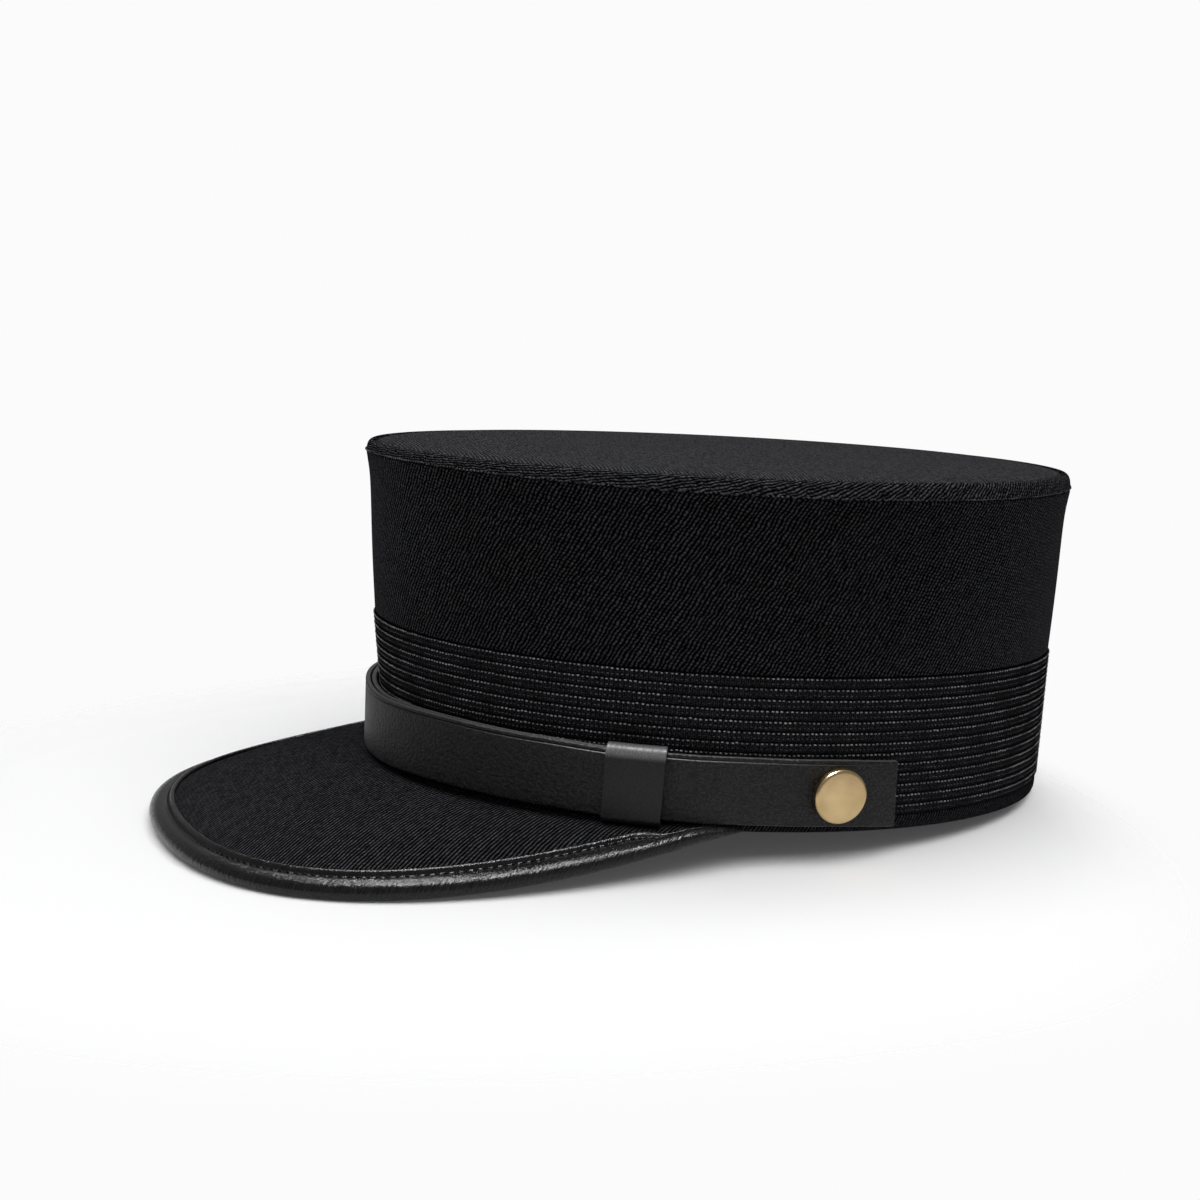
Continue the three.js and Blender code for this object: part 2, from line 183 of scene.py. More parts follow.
def capPoint(turn, height, out):
    # turn from the front in degrees, towards the wearer's left
    halfWidth, halfLength, middle = ovalAt(height)
    angle = math.radians(turn)
    x = (halfWidth + out) * math.sin(angle)
    y = middle - (halfLength + out) * math.cos(angle)
    return Vector((x, y, height + riseAt(height, y)))


def turnOf(place):
    # the turn at which a point of the crown lies
    halfWidth, halfLength, middle = ovalAt(clamp(place.z, 0, capSize["height"]))
    return math.degrees(math.atan2(place.x / halfWidth, (middle - place.y) / halfLength))


# lengths along the strap line, so that patterns and straps keep their real length
arcTable = [0.0]
for degree in range(180):
    arcTable.append(arcTable[-1] + (capPoint(degree + 1, 12, 2) - capPoint(degree, 12, 2)).length)


def arcAt(turn):
    whole = clamp(int(abs(turn)), 0, 179)
    return math.copysign(mix(arcTable[whole], arcTable[whole + 1], abs(turn) - whole), turn)


def turnAt(length):
    away = abs(length)
    whole = next((k for k in range(180) if arcTable[k + 1] >= away), 179)
    return math.copysign(whole + (away - arcTable[whole]) / (arcTable[whole + 1] - arcTable[whole]), length)


def ringPiece(name, section):
    # a closed band round the crown: the section's [out, height] steps are raised loop by loop from one circle
    pick(None)
    sides = capSize["sides"]
    bpy.ops.mesh.primitive_circle_add(vertices=sides, radius=1, fill_type="NOTHING", location=(0, 0, 0))
    piece = bpy.context.object
    piece.name = name
    edit(piece)
    bpy.ops.mesh.select_all(action="SELECT")
    wide, long, middle, level = 1, 1, 0, 0
    for step, (out, height) in enumerate(section):
        halfWidth, halfLength, centre = ovalAt(height)
        if step:
            bpy.ops.mesh.extrude_edges_move()
        scale = ((halfWidth + out) / wide, (halfLength + out) / long, 1)
        bpy.ops.transform.resize(value=scale, center_override=(0, middle, level))
        bpy.ops.transform.translate(value=(0, centre - middle, height - level))
        wide, long, middle, level = halfWidth + out, halfLength + out, centre, height
    bpy.ops.object.mode_set(mode="OBJECT")
    first, last = range(sides), range(sides * (len(section) - 1), sides * len(section))
    for index in [*first, *last]:
        piece.data.vertices[index].select = True
    edit(piece)
    bpy.ops.mesh.bridge_edge_loops()
    bpy.ops.object.mode_set(mode="OBJECT")
    return piece


def leanTop(place):
    # the crown's top is a little higher at the back
    return Vector((place.x, place.y, place.z + riseAt(place.z, place.y)))


def aroundUv(place, face):
    middle = turnOf(face.center)
    turn = turnOf(place)
    if turn - middle > 180:
        turn -= 360
    elif middle - turn > 180:
        turn += 360
    if abs(turn) <= 180:
        return arcAt(turn), place.z
    past = arcAt(math.copysign(360 - abs(turn), turn))
    return math.copysign(2 * arcTable[180], turn) - past, place.z


# materials are made first, so that each piece gets its own as it is finished
def addNode(tree, kind, inputs=None, **options):
    node = tree.nodes.new("ShaderNode" + kind)
    for name, value in options.items():
        setattr(node, name, value)
    for socket, value in (inputs or {}).items():
        if isinstance(value, bpy.types.NodeSocket):
            tree.links.new(value, node.inputs[socket])
        else:
            node.inputs[socket].default_value = value
    return node


def calc(tree, operation, *values):
    return addNode(tree, "Math", dict(enumerate(values)), operation=operation).outputs[0]


def ramp(tree, value, start, end, low=0, high=1, eased=False):
    # runs from low to high while the value runs from start to end
    inputs = {"Value": value, "From Min": start, "From Max": end, "To Min": low, "To Max": high}
    kind = "SMOOTHSTEP" if eased else "LINEAR"
    return addNode(tree, "MapRange", inputs, interpolation_type=kind).outputs["Result"]


def blend(tree, share, low, high):
    return ramp(tree, share, 0, 1, low, high)


def noise(tree, place, scale, detail):
    return addNode(tree, "TexNoise", {"Vector": place, "Scale": scale, "Detail": detail}).outputs[0]


def split(tree, vector):
    return addNode(tree, "SeparateXYZ", {0: vector}).outputs


def join(tree, x, y, z=0):
    return addNode(tree, "CombineXYZ", {0: x, 1: y, 2: z}).outputs[0]


def lengthOf(tree, x, y):
    return addNode(tree, "VectorMath", {0: join(tree, x, y)}, operation="LENGTH").outputs["Value"]


def inMillimetres(tree, vector):
    return addNode(tree, "VectorMath", {0: vector, "Scale": 1000}, operation="SCALE").outputs[0]


def mixColor(tree, share, low, high):
    # each colour is a fixed one or comes from another node
    colors = [color if isinstance(color, bpy.types.NodeSocket) else (*color, 1) for color in (low, high)]
    inputs = {0: share, 6: colors[0], 7: colors[1]}
    return addNode(tree, "Mix", inputs, data_type="RGBA", clamp_factor=True).outputs[2]


def putBump(tree, shader, height, depth):
    # depth in millimetres
    bump = addNode(tree, "Bump", {"Height": height, "Distance": depth / 1000, "Strength": 1.0})
    tree.links.new(bump.outputs[0], shader.inputs["Normal"])


def newGroup(name, vectors, numbers, results):
    group = bpy.data.node_groups.new(name, "ShaderNodeTree")
    for label in vectors:
        group.interface.new_socket(name=label, in_out="INPUT", socket_type="NodeSocketVector")
    for label, value in numbers.items():
        socket = group.interface.new_socket(name=label, in_out="INPUT", socket_type="NodeSocketFloat")
        socket.default_value = value
    for label in results:
        group.interface.new_socket(name=label, in_out="OUTPUT", socket_type="NodeSocketFloat")
    return group, group.nodes.new("NodeGroupInput").outputs, group.nodes.new("NodeGroupOutput").inputs


def useGroup(tree, group, inputs):
    return addNode(tree, "Group", inputs, node_tree=group).outputs


def makeTwillWeave():
    # diagonal ribs made of short threads; lengths in millimetres, angle in radians from the cloth's U
    numbers = {
        "Angle": 1.0, "Pitch": 1.15, "Float": 1.0, "Bead": 0.5, "Waver": 0.25, "Wobble": 0.5,
        "Fuzz": 0.4, "Sharp": 1.7, "Mottle": 0.3, "Spots": 0.85, "Streak": 1.0,
    }
    tree, given, result = newGroup("twillWeave", ["Cloth"], numbers, ["Rib", "Height", "Patch"])
    cloth = inMillimetres(tree, given["Cloth"])
    back = calc(tree, "MULTIPLY", given["Angle"], -1)
    turned = addNode(tree, "VectorRotate", {"Vector": cloth, "Angle": back}, rotation_type="Z_AXIS").outputs[0]
    parts = split(tree, turned)

    # the ribs, which wander a little
    slow = noise(tree, cloth, 0.09, 2)
    uneven = noise(tree, cloth, 0.4, 2)
    shift = calc(tree, "MULTIPLY", calc(tree, "SUBTRACT", slow, 0.5), given["Waver"])
    shift = calc(tree, "ADD", shift, calc(tree, "MULTIPLY", uneven, given["Wobble"]))
    across = calc(tree, "ADD", calc(tree, "DIVIDE", parts["Y"], given["Pitch"]), shift)
    number = calc(tree, "FLOOR", across)
    inside = calc(tree, "FRACT", across)
    ridge = calc(tree, "POWER", calc(tree, "SINE", calc(tree, "MULTIPLY", inside, math.pi)), given["Sharp"])

    # the short threads along each rib
    along = calc(tree, "DIVIDE", parts["X"], given["Float"])
    along = calc(tree, "ADD", along, calc(tree, "MULTIPLY", number, 0.382))
    bent = calc(tree, "ADD", calc(tree, "MULTIPLY", inside, 0.35), calc(tree, "MULTIPLY", uneven, 1.6))
    along = calc(tree, "ADD", along, bent)
    spot = join(tree, number, calc(tree, "FLOOR", along), 0.5)
    chance = addNode(tree, "TexWhiteNoise", {"Vector": spot}, noise_dimensions="3D").outputs["Value"]
    thread = calc(tree, "SINE", calc(tree, "MULTIPLY", calc(tree, "FRACT", along), math.pi))
    patch = noise(tree, cloth, 0.05, 3)
    bead = calc(tree, "MULTIPLY", given["Bead"], blend(tree, patch, 0.5, 1.5))
    beaded = calc(tree, "SUBTRACT", 1, calc(tree, "MULTIPLY", bead, calc(tree, "SUBTRACT", 1, thread)))
    shape = calc(tree, "MULTIPLY", ridge, beaded)

    # fluff and soft spots
    fuzz = noise(tree, cloth, 3, 3)
    drawn = join(tree, calc(tree, "DIVIDE", parts["X"], given["Streak"]), parts["Y"])
    spots = calc(tree, "SUBTRACT", noise(tree, drawn, given["Spots"], 2), 0.5)
    spots = calc(tree, "MULTIPLY", spots, calc(tree, "MULTIPLY", given["Mottle"], 4))
    fluff = calc(tree, "MULTIPLY", calc(tree, "SUBTRACT", fuzz, 0.5), calc(tree, "MULTIPLY", given["Fuzz"], 4))
    cloudy = calc(tree, "MAXIMUM", calc(tree, "ADD", calc(tree, "ADD", spots, fluff), 1), 0)
    tone = calc(tree, "MULTIPLY", blend(tree, chance, 0.6, 1.4), cloudy)
    tree.links.new(calc(tree, "MULTIPLY", shape, tone), result["Rib"])
    tree.links.new(calc(tree, "ADD", shape, calc(tree, "MULTIPLY", fuzz, 0.35)), result["Height"])
    tree.links.new(patch, result["Patch"])
    return tree


def makeLeatherGrain():
    # pebbled cells and finer pores, with slow unevenness; sizes in millimetres
    numbers = {"Cell": 0.45, "Stretch": 1.0, "Wrinkle": 0.0}
    tree, given, result = newGroup("leatherGrain", ["Skin"], numbers, ["Grain", "Height", "Patch"])
    skin = inMillimetres(tree, given["Skin"])
    parts = split(tree, skin)
    drawn = join(tree, calc(tree, "DIVIDE", parts["X"], given["Stretch"]), parts["Y"], parts["Z"])
    fine = calc(tree, "DIVIDE", 1, given["Cell"])
    voronoi = {"Vector": drawn, "Scale": fine, "Randomness": 1.0}
    cells = addNode(tree, "TexVoronoi", voronoi, feature="SMOOTH_F1").outputs["Distance"]
    pores = noise(tree, drawn, calc(tree, "MULTIPLY", fine, 1.9), 4)
    specks = ramp(tree, pores, 0.36, 0.64)
    tree.links.new(calc(tree, "MULTIPLY", calc(tree, "SUBTRACT", 1, cells), specks), result["Grain"])
    squeezed = join(tree, calc(tree, "MULTIPLY", parts["X"], 1.5), calc(tree, "MULTIPLY", parts["Y"], 0.3))
    wrinkles = calc(tree, "MULTIPLY", noise(tree, squeezed, 0.8, 2), given["Wrinkle"])
    pebbles = calc(tree, "ADD", calc(tree, "MULTIPLY", cells, -0.8), calc(tree, "MULTIPLY", pores, 0.6))
    tree.links.new(calc(tree, "ADD", pebbles, wrinkles), result["Height"])
    tree.links.new(noise(tree, skin, 0.12, 3), result["Patch"])
    return tree


twillWeave = makeTwillWeave()
leatherGrain = makeLeatherGrain()


def newMaterial(name, **values):
    material = bpy.data.materials.new(name)
    material.use_nodes = True
    shader = material.node_tree.nodes["Principled BSDF"]
    for socket, value in values.items():
        shader.inputs[socket.replace("_", " ")].default_value = value
    return material, material.node_tree, shader


# what the cloths have in common
plainTwill = {
    "waver": 1.0, "wobble": 0.5, "fuzz": 0.5, "mottle": 0.3, "spots": 0.85, "streak": 1.0,
    "roughness": 1.0, "specular": 0.0, "sheen": 0.008, "sheenRoughness": 0.5,
}
weaveKeys = ("pitch", "float", "bead", "waver", "wobble", "fuzz", "sharp", "mottle", "spots", "streak")


def twillMaterial(name, look):
    look = {**plainTwill, **look}
    material, tree, shader = newMaterial(
        name, Roughness=look["roughness"], Specular_IOR_Level=look["specular"],
        Sheen_Weight=look["sheen"], Sheen_Roughness=look["sheenRoughness"], Sheen_Tint=(0.92, 0.94, 1, 1),
    )
    cloth = addNode(tree, "UVMap", uv_map="cloth").outputs[0]
    inputs = {key.title(): look[key] for key in weaveKeys}
    weave = useGroup(tree, twillWeave, {"Cloth": cloth, "Angle": math.radians(look["angle"]), **inputs})
    shade = calc(tree, "MULTIPLY", weave["Rib"], blend(tree, weave["Patch"], 0.75, 1.25))
    if "rows" in look:
        # painted shade: the cloth darkens towards the groove between two rows
        first, pitch = look["rows"]
        height = calc(tree, "MULTIPLY", split(tree, cloth)["Y"], 1000)
        row = calc(tree, "FRACT", calc(tree, "DIVIDE", calc(tree, "SUBTRACT", height, first), pitch))
        towardsGroove = calc(tree, "MULTIPLY", calc(tree, "ABSOLUTE", calc(tree, "SUBTRACT", row, 0.5)), 2)
        shade = calc(tree, "MULTIPLY", shade, ramp(tree, towardsGroove, 0.82, 0.98, 1, 0, eased=True))
    if "oval" in look:
        # painted shade: the cloth darkens where it turns down into the seam round its edge
        halfWidth, halfLength, middle, shadeWidth = look["oval"]
        parts = split(tree, cloth)
        across = calc(tree, "DIVIDE", parts["X"], halfWidth / 1000)
        lengthwise = calc(tree, "DIVIDE", calc(tree, "SUBTRACT", parts["Y"], middle / 1000), halfLength / 1000)
        away = lengthOf(tree, across, lengthwise)
        shade = calc(tree, "MULTIPLY", shade, ramp(tree, away, 1 - shadeWidth / halfWidth, 1, 1, 0.05))
    tree.links.new(mixColor(tree, shade, look["dark"], look["light"]), shader.inputs["Base Color"])
    putBump(tree, shader, weave["Height"], look["depth"])
    return material


def leatherMaterial(name, look):
    material, tree, shader = newMaterial(name, Specular_IOR_Level=look["specular"])
    skin = addNode(tree, "UVMap", uv_map="cloth").outputs[0]
    inputs = {key.title(): look[key] for key in ("cell", "stretch", "wrinkle")}
    grain = useGroup(tree, leatherGrain, {"Skin": skin, **inputs})
    color = mixColor(tree, grain["Grain"], look["dark"], look["light"])

    def awayFrom(middle):
        return calc(tree, "ABSOLUTE", calc(tree, "SUBTRACT", split(tree, skin)["Y"], middle / 1000))

    if "edge" in look:
        # the cut edge shows paler leather
        middle, start, end, pale = look["edge"]
        color = mixColor(tree, ramp(tree, awayFrom(middle), start / 1000, end / 1000, eased=True), color, pale)
    if "paintedHighlight" in look:
        # painted highlight: the part that bends over the top is painted paler, standing in for the light it catches
        start, end, pale = look["paintedHighlight"]
        bent = ramp(tree, split(tree, skin)["Y"], start / 1000, end / 1000, eased=True)
        bent = calc(tree, "MULTIPLY", bent, blend(tree, grain["Grain"], 0.5, 1.4))
        color = mixColor(tree, bent, color, pale)
    tree.links.new(color, shader.inputs["Base Color"])
    roughness = blend(tree, grain["Patch"], look["roughness"] - 0.05, look["roughness"] + 0.05)
    tree.links.new(roughness, shader.inputs["Roughness"])
    height = grain["Height"]
    if "crease" in look:
        # a line pressed in along the strap
        middle, width, deep = look["crease"]
        line = ramp(tree, awayFrom(middle), 0, width / 1000, 1, 0, eased=True)
        height = calc(tree, "SUBTRACT", height, calc(tree, "MULTIPLY", line, deep))
    putBump(tree, shader, height, look["depth"])
    return material


def threadMaterial(name, look):
    material, tree, shader = newMaterial(name, Specular_IOR_Level=look["specular"], Roughness=look["roughness"])
    place = addNode(tree, "TexCoord").outputs["Object"]
    share = ramp(tree, noise(tree, place, 160, 3), 0.4, 0.62)
    tree.links.new(mixColor(tree, share, look["dark"], look["light"]), shader.inputs["Base Color"])
    putBump(tree, shader, noise(tree, place, 3000, 1), 0.08)
    return material


def brassMaterial(name, look):
    # turned and lightly brushed face, with soft cloudy tarnish
    material, tree, shader = newMaterial(name, Metallic=1.0)
    place = addNode(tree, "TexCoord").outputs["Object"]
    cloud = noise(tree, place, 110, 3)
    color = mixColor(tree, ramp(tree, cloud, 0.3, 0.7), look["dark"], look["light"])
    tree.links.new(color, shader.inputs["Base Color"])
    roughness = blend(tree, cloud, look["roughness"] + 0.08, look["roughness"] - 0.08)
    tree.links.new(roughness, shader.inputs["Roughness"])
    putBump(tree, shader, noise(tree, place, 5200, 2), 0.02)
    return material


wallTwill = twillMaterial("wallTwill", {
    "angle": 60, "pitch": 1.06, "float": 1.0, "bead": 0.85, "waver": 1.3, "wobble": 1.1, "fuzz": 0.6,
    "sharp": 3.6, "mottle": 0.35, "depth": 0.3, "sheen": 0.062, "sheenRoughness": 0.3,
    "dark": (0.0001, 0.0001, 0.00012), "light": (0.052, 0.052, 0.057),
})
topHalfWidth, topHalfLength, topMiddle = ovalAt(capSize["height"])
# partly painted light: the top's twill is paler than the wall's, for a fuzzier cloth and for the light it catches
# facing up
topTwill = twillMaterial("topTwill", {
    # painted shade round the top's edge, as (half width, half length, middle, width of the shade)
    "oval": (topHalfWidth - 2.6, topHalfLength - 2.6, topMiddle, 2.4),
    "angle": -9, "pitch": 1.0, "float": 3.0, "bead": 0.6, "wobble": 0.6, "fuzz": 1.6,
    "sharp": 1.8, "mottle": 0.85, "spots": 1.5, "streak": 4.0, "depth": 0.2, "specular": 0.02,
    "dark": (0.004, 0.004, 0.0044), "light": (0.066, 0.066, 0.0713),
})
# painted light: the welt's twill is paler than the wall's, standing in for the light its roll catches from above
weltTwill = twillMaterial("weltTwill", {
    "angle": 0, "pitch": 1.02, "float": 1.3, "bead": 0.8, "waver": 1.6, "wobble": 1.5, "fuzz": 0.8,
    "sharp": 3.2, "mottle": 0.9, "streak": 1.5, "depth": 0.35, "sheen": 0.006,
    "dark": (0.0002, 0.0002, 0.0003), "light": (0.1, 0.1, 0.109),
})
visorTwill = twillMaterial("visorTwill", {
    "angle": 125, "pitch": 1.02, "float": 1.3, "bead": 0.6, "waver": 0.8,
    "sharp": 4.4, "streak": 1.5, "depth": 0.3,
    "dark": (0.0002, 0.0002, 0.0003), "light": (0.079, 0.079, 0.086),
})
rimTwill = twillMaterial("rimTwill", {
    "angle": 58, "pitch": 0.9, "float": 0.9, "bead": 0.5, "waver": 0.6, "wobble": 0.4,
    "sharp": 3.0, "depth": 0.2, "sheen": 0.006,
    "dark": (0.0002, 0.0002, 0.0003), "light": (0.036, 0.036, 0.04),
})
braidCloth = twillMaterial("braidCloth", {
    "angle": 84, "pitch": 0.62, "float": 0.7, "bead": 0.7, "waver": 0.5, "wobble": 1.2, "fuzz": 1.3,
    "sharp": 1.2, "mottle": 1.0, "spots": 1.4, "depth": 0.15,
    "dark": (0.0006, 0.0006, 0.0008), "light": (0.027, 0.027, 0.03),
    # painted shade in the grooves between rows, as (first row's foot, row pitch)
    "rows": (4.3, 2.938),
})
braidThread = threadMaterial("braidThread", {
    "dark": (0.06, 0.06, 0.062), "light": (0.25, 0.25, 0.26), "roughness": 0.45, "specular": 0.4,
})
dimThread = threadMaterial("dimThread", {
    "dark": (0.003, 0.003, 0.0033), "light": (0.07, 0.07, 0.074), "roughness": 0.6, "specular": 0.15,
})
trimThread = threadMaterial("trimThread", {
    "dark": (0.0005, 0.0005, 0.0006), "light": (0.004, 0.004, 0.0043), "roughness": 0.6, "specular": 0.05,
})
# an edge is (strap's middle, where the pale part starts and ends, colour), a crease (middle, width, depth)
strapLeather = leatherMaterial("strapLeather", {
    "cell": 0.75, "stretch": 1.2, "wrinkle": 0.0, "depth": 0.3, "roughness": 0.42, "specular": 0.22,
    "dark": (0.0008, 0.0008, 0.0009), "light": (0.036, 0.036, 0.0375),
    "edge": (9.2, 8.95, 9.18, (0.075, 0.075, 0.077)), "crease": (17.2, 0.35, 1.6),
})
keeperLeather = leatherMaterial("keeperLeather", {
    "cell": 0.6, "stretch": 0.5, "wrinkle": 1.2, "depth": 0.12, "roughness": 0.4, "specular": 0.3,
    "dark": (0.0005, 0.0005, 0.0006), "light": (0.022, 0.022, 0.023),
    # painted highlight on the rolled top, as (where it starts and ends, colour)
    "paintedHighlight": (25.6, 27.5, (0.17, 0.17, 0.175)),
})
trimLeather = leatherMaterial("trimLeather", {
    "cell": 0.7, "stretch": 0.5, "wrinkle": 1.6, "depth": 0.14, "roughness": 0.17, "specular": 0.22,
    "dark": (0.0008, 0.0008, 0.0009), "light": (0.026, 0.026, 0.027),
})
buttonBrass = brassMaterial("buttonBrass", {
    "dark": (0.46, 0.326, 0.16), "light": (0.62, 0.455, 0.243), "roughness": 0.25,
})

# crown wall, and the welt that it tucks in behind
weltShape = {
    "thick": 2.3, "bulge": -0.34, "round": 4.2, "roundSteps": 8, "fall": 0.6, "backDrop": 0.35, "tuck": 0.45,
    # the foot of the roll, as (out, height over the seam)
    "foot": [(-0.24, 0.25), (-0.2, 0.6), (-0.22, 1)],
}
wallShape = {
    "gap": 0.3, "band": 1.3, "thick": 1.8, "foot": 1.2, "setBack": 0.4, "hollow": 0.42, "steps": 20,
    "swell": 0.2, "swellHeight": 7, "seamSide": 5.3, "seamFront": 3.6, "seamBack": 4.5, "liftFrom": 55,
    "top": 2.7, "insideLevels": (75, 58, 42.5, 20),
}
wallOuter = -(wallShape["band"] + wallShape["gap"])
wallInner = wallOuter - wallShape["thick"]


def seamDrop(turn):
    end = wallShape["seamFront"] if abs(turn) < 90 else wallShape["seamBack"]
    return mix(wallShape["seamSide"], end, math.cos(math.radians(turn)) ** 2)


def liftSeam(place):
    # the seam under the welt lies higher at the front and back than at the sides
    size = wallShape
    seam = capSize["height"] - size["seamSide"]
    extra = size["seamSide"] - seamDrop(turnOf(place))
    if place.z < seam:
        share = clamp((place.z - size["liftFrom"]) / (seam - size["liftFrom"]), 0, 1)
    else:
        share = clamp((capSize["height"] - place.z) / size["seamSide"], 0, 1)
    return leanTop(Vector((place.x, place.y, place.z + extra * share)))


def makeCrownWall():
    size = wallShape
    behind = -(weltShape["thick"] + size["gap"])
    shoulder = capSize["bandTop"] + size["gap"]
    seam = capSize["height"] - size["seamSide"] - size["gap"] / 2
    top = capSize["height"] - size["top"] - size["gap"]
    free, brim = shoulder + 0.3, seam - 0.5  # where the free face starts and ends
    section = [(wallInner, size["foot"]), (wallOuter, size["foot"]), (wallOuter, shoulder - 0.6)]
    section += [(wallOuter + 0.2, shoulder - 0.15), (-size["setBack"] - 0.3, shoulder), (-size["setBack"], free)]
    for step in range(1, size["steps"]):
        share = step / size["steps"]
        height = mix(free, brim, share)
        swell = size["swell"] * smooth(seam - size["swellHeight"], brim, height)
        section.append((swell - size["setBack"] - size["hollow"] * math.sin(share ** 3 * math.pi), height))
    section += [(size["swell"] - size["setBack"], brim), (-size["setBack"], seam), (behind, seam), (behind, top)]
    section += [(wallInner, height) for height in (top, *size["insideLevels"])]
    wall = ringPiece("crownWall", section)
    reshape(wall, liftSeam)
    layUv(wall, aroundUv)
    finishPiece(wall, ["crown_wall"], [wallTwill])


makeCrownWall()

# welt: the strip is cut on the bias, so its ribs lie along the edge in front and turn steep towards the back
ribSlopes = [(0, 3), (30, 5), (55, 12), (75, 20), (92, 34), (108, 50), (125, 63), (180, 72)]


def slopeAt(turn):
    (low, start), (high, end) = spanOf(ribSlopes, turn)
    return math.radians(mix(start, end, clamp((turn - low) / (high - low), 0, 1)))


weltTable = [(0.0, 0.0)]
for degree in range(240):
    slope = slopeAt(degree)
    length = (capPoint(degree + 1, capSize["height"], 0) - capPoint(degree, capSize["height"], 0)).length
    weltTable.append((weltTable[-1][0] + length * math.cos(slope), weltTable[-1][1] + length * math.sin(slope)))


def weltUv(place, face):
    turn, middle = turnOf(place), turnOf(face.center)
    if abs(turn - middle) > 180:
        turn += math.copysign(360, middle)
    away = clamp(abs(turn), 0, 239)
    whole = int(away)
    along, across = (mix(low, high, away - whole) for low, high in zip(weltTable[whole], weltTable[whole + 1]))
    slope = slopeAt(away)
    halfWidth, halfLength, centre = ovalAt(capSize["height"])
    inward = max(0, 1 - math.hypot(place.x / halfWidth, (place.y - centre) / halfLength)) * halfWidth
    height = place.z - capSize["height"] + inward
    side = math.copysign(1, turn)
    return side * along + height * math.sin(slope), height * math.cos(slope) - side * across


def makeTopWelt():
    size = weltShape
    top = capSize["height"]
    seam = top - wallShape["seamSide"]
    section = [(-size["thick"], seam), (-size["tuck"], seam)]
    section += [(out, seam + height) for out, height in size["foot"]]
    for step in range(1, size["roundSteps"] + 1):
        angle = math.radians(step * 90 / size["roundSteps"])
        out = size["bulge"] - (size["thick"] + size["bulge"]) * (1 - math.cos(angle))
        section.append((out, top - size["fall"] - size["round"] * (1 - math.sin(angle))))
    section.append((-size["thick"], top - size["fall"] - size["backDrop"]))
    welt = ringPiece("topWelt", section)
    layUv(welt, weltUv)
    reshape(welt, liftSeam)
    finishPiece(welt, ["top_welt"], [weltTwill])


makeTopWelt()

topShape = {
    "thick": 1.2, "dome": 0.9, "edge": 1.25, "shoulder": 0.9, "crease": 0.5, "creaseFrom": 0.985, "gap": 0.3,
    "rings": (0.995, 0.993, 0.985, 0.98, 0.97, 0.96, 0.9, 0.85, 0.8, 0.7, 0.6, 0.4),
}


def makeCrownTop():
    size = topShape
    halfWidth, halfLength, middle = ovalAt(capSize["height"])
    inset = weltShape["thick"] + size["gap"]
    pick(None)
    sides = capSize["sides"]
    bpy.ops.mesh.primitive_circle_add(vertices=sides, radius=1, fill_type="NGON", location=(0, 0, 0))
    top = bpy.context.object
    top.name = "crownTop"
    edit(top, "FACE")
    bpy.ops.mesh.select_all(action="SELECT")
    bpy.ops.transform.resize(value=(halfWidth - inset, halfLength - inset, 1), center_override=(0, 0, 0))
    bpy.ops.transform.translate(value=(0, middle, capSize["height"]))
    for shrink in size["rings"]:
        bpy.ops.mesh.extrude_region_move()
        bpy.ops.transform.resize(value=(shrink, shrink, 1), center_override=(0, middle, 0))
    bpy.ops.mesh.poke()
    bpy.ops.object.mode_set(mode="OBJECT")

    def dome(place):
        share = math.hypot(place.x / (halfWidth - inset), (place.y - middle) / (halfLength - inset))
        edge = size["edge"] * smooth(size["shoulder"], 1.03, share) ** 1.5
        edge += size["crease"] * smooth(size["creaseFrom"], 1, share)
        return leanTop(Vector((place.x, place.y, place.z + size["dome"] * (1 - share ** 2) - edge)))

    reshape(top, dome)
    applyModifier(top, "SOLIDIFY", thickness=size["thick"], offset=-1)
    layUv(top, lambda place, face: (place.x, place.y))
    finishPiece(top, ["crown_top"], [topTwill])


makeCrownTop()

# braid band
bandShape = {
    "foot": 4.3, "rows": 13, "thick": 1.3, "groove": 0.5,
    # one row, as (height, depth) in shares of the row and the groove
    "row": [(0, 1), (0.08, 0.62), (0.25, 0.42), (0.5, 0.15), (0.7, 0), (0.85, 0.08), (0.95, 0.45)],
}
rowPitch = (capSize["bandTop"] - bandShape["foot"]) / bandShape["rows"]


def makeBraidBand():
    size = bandShape
    section = [(-size["thick"], capSize["bandTop"]), (-size["thick"], size["foot"])]
    for k in range(size["rows"]):
        section += [(-size["groove"] * deep, size["foot"] + (k + share) * rowPitch) for share, deep in size["row"]]
    section.append((-size["groove"], capSize["bandTop"]))
    band = ringPiece("braidBand", section)
    layUv(band, aroundUv)
    finishPiece(band, ["braid_band"], [braidCloth])


makeBraidBand()

# thread ends that show as rows of dots: one bead is modelled, arrayed straight, then bent round the crown
beadShape = {
    "pitch": 1.25, "long": 0.82, "high": 0.46, "deep": 0.46, "out": -0.04, "stagger": 0.31,
    "share": 0.84, "dimShare": 0.36, "dimSize": 0.8,
    "weltMore": 1.03, "weltUp": 0.35, "weltOut": -0.14,
}


def repeat(piece, count, step):
    applyModifier(
        piece, "ARRAY", count=count, use_relative_offset=False, use_constant_offset=True,
        constant_offset_displace=step,
    )


def strandOfBeads(name, count, rows, scale):
    pick(None)
    bpy.ops.mesh.primitive_ico_sphere_add(subdivisions=1, radius=0.5, location=(0, 0, 0))
    strand = bpy.context.object
    strand.name = name
    edit(strand)
    bpy.ops.mesh.select_all(action="SELECT")
    bpy.ops.transform.resize(value=[beadShape[side] * scale for side in ("long", "deep", "high")])
    bpy.ops.object.mode_set(mode="OBJECT")
    repeat(strand, count, (1, 0, 0))
    if rows > 1:
        repeat(strand, rows, (0, 0, rowPitch))
    return strand


